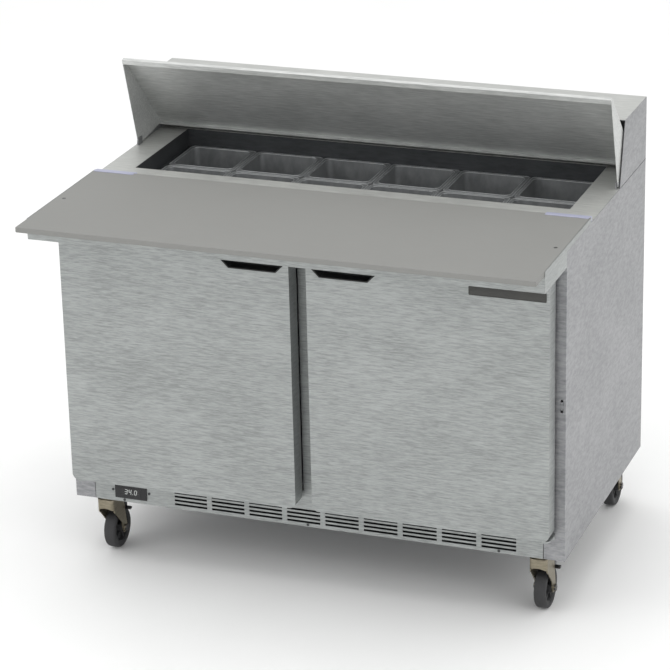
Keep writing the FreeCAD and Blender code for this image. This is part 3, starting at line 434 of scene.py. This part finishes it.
def lathe(profile, centre, axis, segments=40, closed=False, start=0.0):
    # profile of (radius, height) turned about the axis
    around = np.linspace(0, 2 * math.pi, segments, endpoint=False) + start
    profile = np.array(profile, float)
    grid = np.stack([profile[:, :1] * np.cos(around), profile[:, :1] * np.sin(around),
                     np.repeat(profile[:, 1:], segments, axis=1)], axis=-1)
    return shell(spread(grid, axis, centre), closeRows=closed)


def tube(path, radius, sides=10):
    # circle carried along a path; the frame at each point comes from its two neighbours
    path = np.array(path, float)
    ahead = np.gradient(path, axis=0)
    ahead /= np.linalg.norm(ahead, axis=1, keepdims=True)
    guide = np.where(np.abs(ahead[:, 2:]) > 0.9, [[1.0, 0, 0]], [[0, 0, 1.0]])
    side = np.cross(ahead, guide)
    side /= np.linalg.norm(side, axis=1, keepdims=True)
    up = np.cross(side, ahead)
    around = np.linspace(0, 2 * math.pi, sides, endpoint=False)
    grid = path[:, None] + radius * (np.cos(around)[None, :, None] * side[:, None]
                                     + np.sin(around)[None, :, None] * up[:, None])
    return shell(grid)


def blocks(lows, highs):
    # many plain bars at once from their lowest and highest corners
    lows, highs = np.array(lows, float), np.array(highs, float)
    pick = np.array([[0, 0, 0], [1, 0, 0], [1, 1, 0], [0, 1, 0], [0, 0, 1], [1, 0, 1], [1, 1, 1], [0, 1, 1]])
    points = lows[:, None] + (highs - lows)[:, None] * pick[None]
    quads = np.array([[0, 3, 2, 1], [4, 5, 6, 7], [0, 1, 5, 4], [1, 2, 6, 5], [2, 3, 7, 6], [3, 0, 4, 7]])
    faces = (quads[None] + 8 * np.arange(len(lows))[:, None, None]).reshape(-1, 4)
    return points.reshape(-1, 3), faces.tolist()


def ringBead(centre, half, corner, radius, axis, steps=6, around=10):
    # round bead on a rounded rectangle: inset -radius*cos(angle), height radius*sin(angle)
    angle = np.linspace(0, 2 * math.pi, around, endpoint=False)
    circle = np.column_stack([-radius * np.cos(angle), radius * np.sin(angle)])
    return carried(centre, half, corner, circle, axis, steps)


def middle(name):
    # centre and half size of a node's box
    low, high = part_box(name)
    return np.array((low + high) / 2), np.array(high - low) / 2


digitStyle = {"text": "34.0", "tall": 0.0125, "wide": 0.0068, "gap": 0.0031, "stroke": 0.0014, "lean": 0.1,
              "proud": 0.0003}
segmentsOf = {"0": "abcdef", "3": "abcdg", "4": "bcfg"}


def makeDigits(style):
    # seven bars a digit, sheared by the lean
    centre, half = middle("display_window")
    tall, wide, stroke = style["tall"], style["wide"], style["stroke"]
    bars = {"a": (0, tall - stroke, wide, tall), "g": (0, (tall - stroke) / 2, wide, (tall + stroke) / 2),
            "d": (0, 0, wide, stroke), "f": (0, tall / 2, stroke, tall), "e": (0, 0, stroke, tall / 2),
            "b": (wide - stroke, tall / 2, wide, tall), "c": (wide - stroke, 0, wide, tall / 2)}
    cursor, lows, highs = 0.0, [], []
    face = centre[1] - half[1]
    for letter in style["text"]:
        boxes = [(0, 0, stroke, stroke)] if letter == "." else [bars[key] for key in segmentsOf[letter]]
        for left, low, right, high in boxes:
            lows.append((cursor + left, face - style["proud"], low))
            highs.append((cursor + right, face + style["proud"], high))
        cursor += style["gap"] + (stroke if letter == "." else wide)
    points, faces = blocks(lows, highs)
    points[:, 0] += centre[0] - (cursor - style["gap"]) / 2 + style["lean"] * points[:, 2]
    points[:, 2] += centre[2] - tall / 2
    addPiece("displayDigits", [(points, faces)], "cabinet", "litSegment")


makeDigits(digitStyle)

screwStyle = {"radius": 0.0034, "dome": 0.0017, "fall": 0.55, "crossWide": 0.0009, "crossLong": 0.0021,
              "crossDeep": 0.0009, "seat": 0.0016, "rings": 9, "around": 32, "innerShare": 0.04}


def screwHead(centre, style, axis="y"):
    # dome: height falls with the square of the radius; a cross is sunk where |x| or |y| is small
    around = np.linspace(0, 2 * math.pi, style["around"], endpoint=False)
    reach = np.linspace(1, style["innerShare"], style["rings"])[:, None] * style["radius"] + 0 * around
    across, up = reach * np.cos(around), reach * np.sin(around)
    rise = style["dome"] * (1 - style["fall"] * (reach / style["radius"]) ** 2)
    near = np.minimum(np.abs(across), np.abs(up)) < style["crossWide"] / 2
    rise = rise - style["crossDeep"] * (near & (reach < style["crossLong"]))
    base = np.stack([across[0], up[0], 0 * across[0]], axis=-1)[None]
    return shell(spread(np.concatenate([base, np.stack([across, up, rise], axis=-1)]), axis, centre))


def nodePoints(name):
    # every point of a node's mesh, as rows of x, y, z
    mesh = nodes[name].data
    flat = np.empty(3 * len(mesh.vertices), np.float32)
    mesh.vertices.foreach_get("co", flat)
    return flat.reshape(-1, 3)


def solidBoxes(name, decimals=5):
    # lowest and highest corner of each separate solid: points at one place are one, and each takes the
    # lowest label among the triangles it is in until no label changes
    mesh = nodes[name].data
    mesh.calc_loop_triangles()
    flat = np.empty(3 * len(mesh.loop_triangles), np.int32)
    mesh.loop_triangles.foreach_get("vertices", flat)
    points = nodePoints(name)
    places, place = np.unique(np.round(points, decimals), axis=0, return_inverse=True)
    place = place.reshape(-1)
    corner = place[flat]
    label = np.arange(len(places))
    changed = True
    while changed:
        fresh = label.copy()
        np.minimum.at(fresh, corner, np.repeat(label[corner].reshape(-1, 3).min(axis=1), 3))
        changed = bool((fresh != label).any())
        label = fresh
    owner = label[place]
    return [(points[owner == one].min(axis=0), points[owner == one].max(axis=0)) for one in np.unique(label)]


screwShells = []
for low, high in solidBoxes("panel_screws"):
    seat = ((low[0] + high[0]) / 2, low[1] + screwStyle["seat"], (low[2] + high[2]) / 2)
    screwShells.append(screwHead(seat, screwStyle))
addPiece("panelScrewHeads", screwShells, "cabinet", "screwSteel", ["panel_screws"], 20)
print("controller and screws made")


boardStyle = {"holeRadius": 0.0041, "ringSteps": 4, "edge": 0.0014, "edgeSegments": 3}


def pierced(low, high, spots, radius, steps):
    # plate on a grid whose lines crowd round each spot; the square of points at max(|dx|, |dy|) = radius
    # is pulled onto the circle hypot(dx, dy) = radius and the cells inside it are left out
    around = np.linspace(-radius, radius, 2 * steps + 1)
    xs = np.concatenate([[low[0]]] + [x + around for x, y in spots] + [[high[0]]])
    ys = np.concatenate([[low[1]], spots[0][1] + around, [high[1]]])
    x, y = np.meshgrid(xs, ys, indexing="ij")
    cellX, cellY = np.meshgrid((xs[:-1] + xs[1:]) / 2, (ys[:-1] + ys[1:]) / 2, indexing="ij")
    keep = np.ones(cellX.shape, bool)
    for spotX, spotY in spots:
        across, along = x - spotX, y - spotY
        ring = np.isclose(np.maximum(np.abs(across), np.abs(along)), radius)
        pull = np.where(ring, radius / np.maximum(np.hypot(across, along), radius / 2), 1)
        x, y = spotX + across * pull, spotY + along * pull
        keep &= np.maximum(np.abs(cellX - spotX), np.abs(cellY - spotY)) > radius
    quads = gridFaces(len(xs), len(ys), False, False)[keep.ravel()]
    edges = np.concatenate([quads[:, [0, 1]], quads[:, [1, 2]], quads[:, [2, 3]], quads[:, [3, 0]]])
    first, count = np.unique(np.sort(edges, axis=1), axis=0, return_index=True, return_counts=True)[1:]
    rim = edges[first[count == 1]]
    total = x.size
    faces = np.concatenate([quads, quads[:, ::-1] + total, np.column_stack([rim, rim[:, ::-1] + total])])
    flat = np.column_stack([x.ravel(), y.ravel()])
    points = np.concatenate([np.column_stack([flat, np.full(total, level)]) for level in (high[2], low[2])])
    used, renumbered = np.unique(faces, return_inverse=True)
    return points[used], renumbered.reshape(-1, 4).tolist()


def makeBoard(style):
    # flat board pierced at the two pegs, with softened edges
    low, high = (np.array(corner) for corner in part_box("cutting_board"))
    spots = sorted(tuple((some + other)[:2] / 2) for some, other in solidBoxes("board_pins"))
    slabShell = pierced(low, high, spots, style["holeRadius"], style["ringSteps"])
    board = addPiece("boardSlab", [slabShell], "board", "boardPolymer", ["cutting_board"])
    easeEdges(board, style["edge"], style["edgeSegments"])


makeBoard(boardStyle)


casterStyle = {
    "treadHalf": 0.015, "tyreDeep": 0.0135, "tyreRound": 0.006, "beadShare": 0.86,
    "bore": 0.0052, "hub": 0.013, "hubTaper": 0.001, "webHalf": 0.005, "flange": 0.006, "flangeLip": 0.003,
    "seat": 0.0004, "coreShare": 0.8, "ribs": 5, "ribHalf": 0.0016, "ribShare": 0.72,
    "trail": 0.035, "raceRadius": 0.0195, "raceTube": 0.003, "raceDrop": 0.0045,
    "nutRadius": 0.0092, "nutThick": 0.0045, "nutProud": 0.0004,
}


def makeTyre(corner, centre, radius, style):
    # tread section turned about the axle: flat in the middle, quarter circles at both shoulders
    tread, soft = style["treadHalf"], style["tyreRound"]
    rim = radius - style["tyreDeep"]
    turn = np.linspace(0, math.pi / 2, 5)
    right = np.column_stack([radius - soft * (1 - np.cos(turn)), tread - soft + soft * np.sin(turn)])
    bead = np.array([(rim, tread * style["beadShare"]), (rim, -tread * style["beadShare"])])
    section = np.concatenate([right[::-1] * (1, -1), right, bead])
    tyre = lathe(section, centre, "x", 64, closed=True)
    addPiece(corner + "_tyre", [tyre], corner + "_roller", "wheelRubber", [corner + "_wheel"])


def makeWheelCore(corner, centre, radius, hubHalf, style):
    # hub, web and rim turned about the axle; each rib is a radial bar turned into place about it
    tread, hub, web = style["treadHalf"], style["hub"], style["webHalf"]
    rim = radius - style["tyreDeep"]
    right = np.array([(rim + style["seat"], tread * style["coreShare"]),
                      (rim - style["flangeLip"], tread * style["coreShare"]), (rim - style["flange"], web),
                      (hub + style["hubTaper"], web), (hub, hubHalf), (style["bore"], hubHalf)])
    shells = [lathe(np.concatenate([right[::-1] * (1, -1), right]), centre, "x", 48, closed=True)]
    half = ((rim - hub) / 2 - style["hubTaper"], style["ribHalf"])
    reach = tread * style["ribShare"]
    points, faces = slab((hub + (rim - hub) / 2, 0, 0), half, -reach, reach, 0.001, 0.0005, "z", 3, 2)
    for angle in np.linspace(0, 2 * math.pi, style["ribs"], endpoint=False):
        turned = np.column_stack([points[:, 0] * math.cos(angle) - points[:, 1] * math.sin(angle),
                                  points[:, 0] * math.sin(angle) + points[:, 1] * math.cos(angle),
                                  points[:, 2]])
        shells.append((spread(turned, "x", centre), faces))
    addPiece(corner + "_wheelCore", shells, corner + "_roller", "wheelPolymer")


def makeCaster(corner, style):
    # wheel on its axle, ball race as a round ring under the plate, and a hexagon nut on each side
    centre, half = middle(corner + "_wheel")
    makeTyre(corner, centre, half[1], style)
    makeWheelCore(corner, centre, half[1], half[0], style)
    forkLow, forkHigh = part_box(corner + "_fork")
    swivel = ((forkLow[0] + forkHigh[0]) / 2, centre[1] - style["trail"], forkHigh[2] - style["raceDrop"])
    circle = np.linspace(0, 2 * math.pi, 12, endpoint=False)
    ring = np.column_stack([style["raceRadius"] + style["raceTube"] * np.cos(circle),
                            style["raceTube"] * np.sin(circle)])
    addPiece(corner + "_race", [lathe(ring, swivel, "z", 48, closed=True)],
             corner + "_caster", "zincPlate")
    radius, thick = style["nutRadius"], style["nutThick"]
    profile = [(radius * 0.92, 0), (radius, 0.0006), (radius, thick - 0.0008), (radius * 0.85, thick)]
    axleReach = (forkHigh[0] - forkLow[0]) / 2
    nuts = []
    for side in (-1, 1):
        points, faces = lathe(profile, (0, centre[1], centre[2]), "x", 6)
        points[:, 0] = swivel[0] + side * (axleReach - thick + style["nutProud"] + points[:, 0])
        nuts.append((points, faces))
    addPiece(corner + "_axleNuts", nuts, corner + "_caster", "screwSteel", smoothAngle=20)


for corner in corners:
    makeCaster(corner, casterStyle)
print("casters made")


gasketStyle = {"wide": 0.014, "lip": 0.012, "lipUnder": 0.002, "lipFrom": 0.3, "lipTo": 0.9, "corner": 0.012,
               "least": 0.001, "panProud": 0.006, "panInset": 0.006, "panSunk": 0.0004, "panCorner": 0.02,
               "panEdge": 0.004}
# bellows: (share of the width from the outer edge, share of the depth towards the cabinet)
bellows = np.array([(0, 0), (0.0005, 0.45), (0.18, 0.62), (0.05, 0.8), (0.2, 1.0), (0.8, 1.0),
                    (0.95, 0.8), (0.82, 0.62), (0.9995, 0.45), (1, 0)])


def makeDoor(side, style):
    # bellows and lip are sections carried round the door; the inner pan is a slab with a soft rim
    low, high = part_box(side + "_door_gasket")
    centre, half = middle(side + "_door_gasket")
    deep = high[1] - low[1]
    wide, lip = style["wide"], style["lip"]
    front = np.array((0, centre[1] - low[1]))
    seal = carried(centre, half[[0, 2]], style["corner"], front + bellows * (wide, -deep), "y",
                   least=style["least"])
    # the lip reaches past the bellows towards the latch side, top and bottom, but not over the hinges
    latch = 1 if side == "left" else -1
    under = lip + style["lipUnder"]
    flap = np.array([(0, style["lipFrom"]), (0, style["lipTo"]), (under, style["lipTo"]),
                     (under, style["lipFrom"])])
    lipShell = carried(centre + np.array((latch * lip / 2, 0, 0)), half[[0, 2]] + (lip / 2, lip),
                       style["corner"] + lip, front + flap * (1, -deep), "y", least=style["least"])
    # the seal takes the gasket vinyl lightened as painted light
    addPiece(side + "_gasketSeal", [seal, lipShell], side + "_door", "gasketVinylPaintedLight",
             [side + "_door_gasket"])
    inner = half[[0, 2]] - wide - style["panInset"]
    pan = slab((centre[0], low[1], centre[2]), inner, -style["panProud"], style["panSunk"],
               style["panCorner"], style["panEdge"], "y", 6, 4)
    addPiece(side + "_innerPan", [pan], side + "_door", "linerAluminium")


for side in ("left", "right"):
    makeDoor(side, gasketStyle)

plateStyle = {"corner": 0.0025, "edge": 0.0004, "frame": 0.0016, "rivet": 0.0016, "rivetInset": 0.006,
              "fieldShare": 0.7, "frameFrom": 0.6}


def makePlate(style):
    # flat field, a raised border (the outline carried round a small square section) and two domed rivets
    centre, half = middle("nameplate")
    face, back = (corner[1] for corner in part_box("nameplate"))
    thick = back - face
    field = thick * style["fieldShare"]
    place = (centre[0], back, centre[2])
    plate = slab(place, (half[0], half[2]), 0, field, style["corner"], style["edge"], "y")
    wide, low = style["frame"], style["frameFrom"]
    border = []
    for inset, out in ((0, low), (0, 1), (wide, 1), (wide, low)):
        ring = outline(half[0] - inset, half[2] - inset, style["corner"], 5)
        border.append(np.column_stack([ring, np.full(len(ring), out * thick)]))
    rim = shell(spread(np.array(border), "y", place), closeRows=True)
    radius = style["rivet"]
    dome = [(radius, 0), (radius * 0.8, thick * 0.24), (radius * 0.3, thick * 0.3)]
    reach = half[0] - style["rivetInset"]
    rivets = [lathe(dome, (centre[0] + sign * reach, back - field, centre[2]), "y", 20) for sign in (-1, 1)]
    addPiece("blankPlate", [plate, rim] + rivets, "right_door", "blankPlate", ["nameplate"])


makePlate(plateStyle)
print("door pieces made")


panStyle = {"bead": 0.0016, "sink": 0.0009, "corner": 0.0105, "mouthX": 0.0776, "mouthY": 0.0706,
            "mouthCorner": 0.0155, "mouthBead": 0.0007}


def makePanEdges(name, style):
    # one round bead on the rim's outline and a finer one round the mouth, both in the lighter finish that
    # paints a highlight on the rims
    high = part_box(name)[1]
    centre, half = middle(name)
    bead = style["bead"]
    outer = ringBead((centre[0], centre[1], high[2] - style["sink"]), (half[0] - bead, half[1] - bead),
                     style["corner"], bead, "z")
    mouth = ringBead((centre[0], centre[1], high[2]), (style["mouthX"], style["mouthY"]),
                     style["mouthCorner"], style["mouthBead"], "z", 8, 8)
    addPiece(name + "_edges", [outer, mouth], name.replace("_pan_", "_insert_"), "panBright")


for name in pans:
    makePanEdges(name, panStyle)

clampStyle = {"deep": 0.013, "thick": 0.0014, "corner": 0.003, "edge": 0.0006, "inset": 0.002}


def makeClamps(style):
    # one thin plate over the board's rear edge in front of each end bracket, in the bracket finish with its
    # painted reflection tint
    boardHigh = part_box("cutting_board")[1]
    deep, thick = style["deep"], style["thick"]
    plates = []
    for low, high in solidBoxes("board_brackets"):
        centre = ((low[0] + high[0]) / 2, boardHigh[1] - deep / 2, boardHigh[2])
        half = ((high[0] - low[0]) / 2 - style["inset"], deep / 2)
        plates.append(slab(centre, half, -thick / 2, thick, style["corner"], style["edge"], "z"))
    addPiece("boardEndPlates", plates, "board", "paleBracketPaintedReflection")


makeClamps(clampStyle)

hoodStyle = {"capThick": 0.0005, "capEdge": 0.0003, "capInset": 0.0006, "capCorner": 0.001,
             "levelWithin": 0.0002, "sealTall": 0.0016, "sealProud": 0.00025, "sealFrom": 0.004,
             "sheet": 0.0012}


def makeHoodTrim(style):
    # a thin sheet in the deck finish over the flat of the hood, painted light that makes its top lighter than
    # its sides, and sealant bars along its foot at both sides and the rear
    low, high = (np.array(corner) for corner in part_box("rear_hood"))
    spots = nodePoints("rear_hood")
    brow = spots[spots[:, 2] > high[2] - style["levelWithin"], 1].min()
    centre = ((low[0] + high[0]) / 2, (brow + high[1]) / 2, high[2])
    half = np.array(((high[0] - low[0]) / 2, (high[1] - brow) / 2)) - style["capInset"]
    cap = slab(centre, half, -style["capThick"], style["capThick"], style["capCorner"], style["capEdge"], "z")
    addPiece("hoodTopPaintedLightSheet", [cap], "cabinet", "deckPaintedLightStainless")
    proud, tall, deep = style["sealProud"], style["sealTall"] / 2, style["sheet"] / 2
    foot, top, front = low[2] - tall, low[2] + tall, low[1] + style["sealFrom"]
    lows = [(low[0] - proud, front, foot), (high[0] - deep, front, foot), (low[0], high[1] - deep, foot)]
    highs = [(low[0] + deep, high[1], top), (high[0] + proud, high[1], top), (high[0], high[1] + proud, top)]
    addPiece("hoodSealant", [blocks(lows, highs)], "cabinet", "jointSealant")


makeHoodTrim(hoodStyle)

ridgeStyle = {"halfWide": 0.0008, "rise": 0.0036, "corner": 0.0006, "edge": 0.0004}
ridges = []
for low, high in solidBoxes("pan_divider_bars"):
    # a thin ridge along the middle of each bar, whichever way the bar runs
    half = (high - low)[:2] / 2
    half[np.argmin(half)] = ridgeStyle["halfWide"]
    place = ((low[0] + high[0]) / 2, (low[1] + high[1]) / 2, high[2])
    ridges.append(slab(place, half, 0, ridgeStyle["rise"], ridgeStyle["corner"], ridgeStyle["edge"],
                       "z", 3, 2))
# the ridges share the pans' finish, darkened as painted shade
addPiece("panRidges", ridges, "cabinet", "panStainless")
print("pan edges, board plates and hood trim made")

louvreStyle = {"long": 0.24, "tall": 0.012, "deep": 0.004, "rows": 8, "firstZ": 0.220, "step": 0.018,
               "centres": (-0.2, 0.3), "sheet": 0.0008, "endPower": 6, "hoodPower": 0.7}


def makeLouvres(style):
    # each louvre is an eyelid: its depth falls off towards both ends and with height
    across = np.linspace(-1, 1, 25)[None, :]
    up = np.linspace(0, 1, 6)[:, None]
    endFall = np.sqrt(np.clip(1 - np.abs(across) ** style["endPower"], 0, 1))
    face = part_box("rear_panel")[1][1]
    y = face + style["deep"] * (1 - up) ** style["hoodPower"] * endFall
    shells = []
    for centre in style["centres"]:
        for row in range(style["rows"]):
            x = centre + across * style["long"] / 2 + 0 * up
            z = style["firstZ"] + row * style["step"] + up * style["tall"] + 0 * across
            outer = np.stack([x, y, z], axis=-1)
            grid = np.concatenate([outer, (outer - np.array((0, style["sheet"], 0)))[::-1]])
            shells.append(shell(grid, closeRows=True, closeColumns=False))
    addPiece("rearLouvres", shells, "cabinet", "galvanisedSheet")


makeLouvres(louvreStyle)
print("rear made")


coilStyle = {
    "finThick": 0.0006, "tubeRadius": 0.0045, "bendInset": 0.02, "bendSteps": 13,
    "evaporator": {"fins": 96, "rows": 5, "low": (0.002, -0.004, 0.004), "high": (0.002, 0.044, 0.004)},
    "condenser": {"fins": 52, "rows": 9, "low": (0.004, -0.004, 0.03), "high": (0.004, 0.0, 0.006)},
}


def finBank(name, low, high, style):
    # thin upright plates side by side, with half-circle return bends at both ends
    count = style[name]["fins"]
    x = np.linspace(low[0], high[0], count)
    lows = np.column_stack([x, np.full(count, low[1]), np.full(count, low[2])])
    highs = np.column_stack([x + style["finThick"], np.full(count, high[1]), np.full(count, high[2])])
    addPiece(name + "Fins", [blocks(lows, highs)], "cabinet", "finAluminium")
    heights = np.linspace(low[2] + style["bendInset"], high[2] - style["bendInset"], style[name]["rows"])
    turn = np.linspace(0, math.pi, style["bendSteps"])
    bends = []
    for side, end in ((-1, low[0]), (1, high[0])):
        for lower, upper in zip(heights[:-1:2], heights[1::2]):
            radius = (upper - lower) / 2
            path = np.stack([end + side * radius * np.sin(turn), np.full(len(turn), (low[1] + high[1]) / 2),
                             (lower + upper) / 2 - radius * np.cos(turn)], axis=1)
            bends.append(tube(path, style["tubeRadius"]))
    addPiece(name + "Bends", bends, "cabinet", "copperTube")


coilLow, coilHigh = (np.array(corner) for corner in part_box("evaporator_coil"))
finBank("evaporator", coilLow + coilStyle["evaporator"]["low"], coilHigh - coilStyle["evaporator"]["high"],
        coilStyle)
# the condenser's fins are a thin bank on the front face of its core
coilLow, coilHigh = (np.array(corner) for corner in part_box("condenser_coil"))
coilHigh[1] = coilLow[1]
finBank("condenser", coilLow + coilStyle["condenser"]["low"], coilHigh - coilStyle["condenser"]["high"],
        coilStyle)

compressorStyle = {
    "x": 0.300, "radius": 0.058, "wall": 0.095, "crown": 0.045, "lift": 0.006, "seam": 0.003, "flat": 0.0002,
    "foot": {"half": (0.072, 0.05), "thick": 0.005, "corner": 0.012, "edge": 0.0015},
    "box": {"out": 0.006, "up": 0.06, "half": (0.012, 0.026), "deep": 0.024, "corner": 0.004, "edge": 0.002},
    "tube": {"from": (-0.02, 0.04, 0.05), "long": 0.30, "back": 0.055, "rise": 0.09, "steps": 24},
}


def makeCompressor(style):
    # domed can: straight wall, shoulder seam and an elliptical crown; the tube rises and falls as half a sine
    centre = middle("compressor")[0]
    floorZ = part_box("compressor")[0][2]
    x, radius, wall = style["x"], style["radius"], style["wall"]
    base = floorZ + style["lift"]
    seam = radius + style["seam"]
    turn = np.linspace(0, math.pi / 2, 9)[1:]
    profile = [(radius * 0.9, 0), (radius, 0.008), (radius, wall * 0.55), (seam, wall * 0.57),
               (seam, wall * 0.62), (radius, wall * 0.64), (radius, wall)]
    crown = np.column_stack([radius * np.cos(turn) + style["flat"], wall + style["crown"] * np.sin(turn)])
    can = lathe(np.concatenate([profile, crown]), (x, centre[1], base), "z", 56)
    foot, box = style["foot"], style["box"]
    feet = slab((x, centre[1], floorZ), foot["half"], 0.0, foot["thick"], foot["corner"], foot["edge"], "z")
    case = slab((x + radius + box["out"], centre[1], base + box["up"]), box["half"], -box["deep"],
                box["deep"], box["corner"], box["edge"], "z")
    addPiece("compressorCan", [can, feet, case], "cabinet", "blackEnamel",
             ["compressor"])
    line = style["tube"]
    start = np.array((x, centre[1], base)) + line["from"]
    along = np.linspace(0, 1, line["steps"])
    path = np.column_stack([start[0] - line["long"] * along,
                            start[1] - line["back"] * np.sin(along * math.pi / 2),
                            start[2] + line["rise"] * np.sin(along * math.pi)])
    pipe = tube(path, coilStyle["tubeRadius"])
    addPiece("dischargeTube", [pipe], "cabinet", "copperTube")


makeCompressor(compressorStyle)

fanStyle = {"blades": 5, "hub": 0.021, "tip": 0.083, "pitch": 0.62, "untwist": 0.45, "chord": 0.052,
            "rootShare": 0.7, "camber": 0.42, "outMost": 0.0058, "halfThick": 0.0007, "bore": 0.0052,
            "hubBack": 0.006, "hubFront": 0.004, "nose": 0.0068}


def makeFan(style):
    # blade: radius along one parameter, chord angle along the other, twisted less towards the tip
    centre = middle("condenser_fan")[0]
    hub, tip, bore = style["hub"], style["tip"], style["bore"]
    boss = [(bore, -style["hubBack"]), (hub, -style["hubBack"]), (hub, style["hubFront"]),
            (hub * 0.8, style["nose"]), (bore, style["nose"])]
    shells = [lathe(boss, centre, "y", 40, closed=True)]
    reach = np.linspace(hub * 0.9, tip, 9)[:, None]
    pitch = style["pitch"] * (1 - style["untwist"] * (reach - hub) / (tip - hub))
    wide = style["chord"] * (style["rootShare"] + (1 - style["rootShare"]) * reach / tip)
    along = np.linspace(-1, 1, 9)[None, :] * wide / 2
    out = np.clip(along * np.sin(pitch) * style["camber"], -style["outMost"], style["outMost"])
    for index in range(style["blades"]):
        angle = 2 * math.pi * index / style["blades"] + along * np.cos(pitch) / reach
        front, back = (np.stack([reach * np.cos(angle), reach * np.sin(angle), out + shift], axis=-1)
                       for shift in (style["halfThick"], -style["halfThick"]))
        grid = np.concatenate([front, back[::-1]])
        shells.append(shell(spread(grid, "y", centre), closeRows=True, closeColumns=False))
    addPiece("fanBlades", shells, "fan", "blackMoulding", ["condenser_fan"])


makeFan(fanStyle)
print("machine room made")


def makeFloor(reach):
    # one level square
    data = bpy.data.meshes.new("studioFloor")
    square = [(-reach, -reach, 0), (reach, -reach, 0), (reach, reach, 0), (-reach, reach, 0)]
    data.from_pydata(square, [], [(0, 1, 2, 3)])
    floor = bpy.data.objects.new("studioFloor", data)
    bpy.context.scene.collection.objects.link(floor)
    data.materials.append(finishes["paleFloor"])


makeFloor(studio["floorReach"])

print("scene ready")
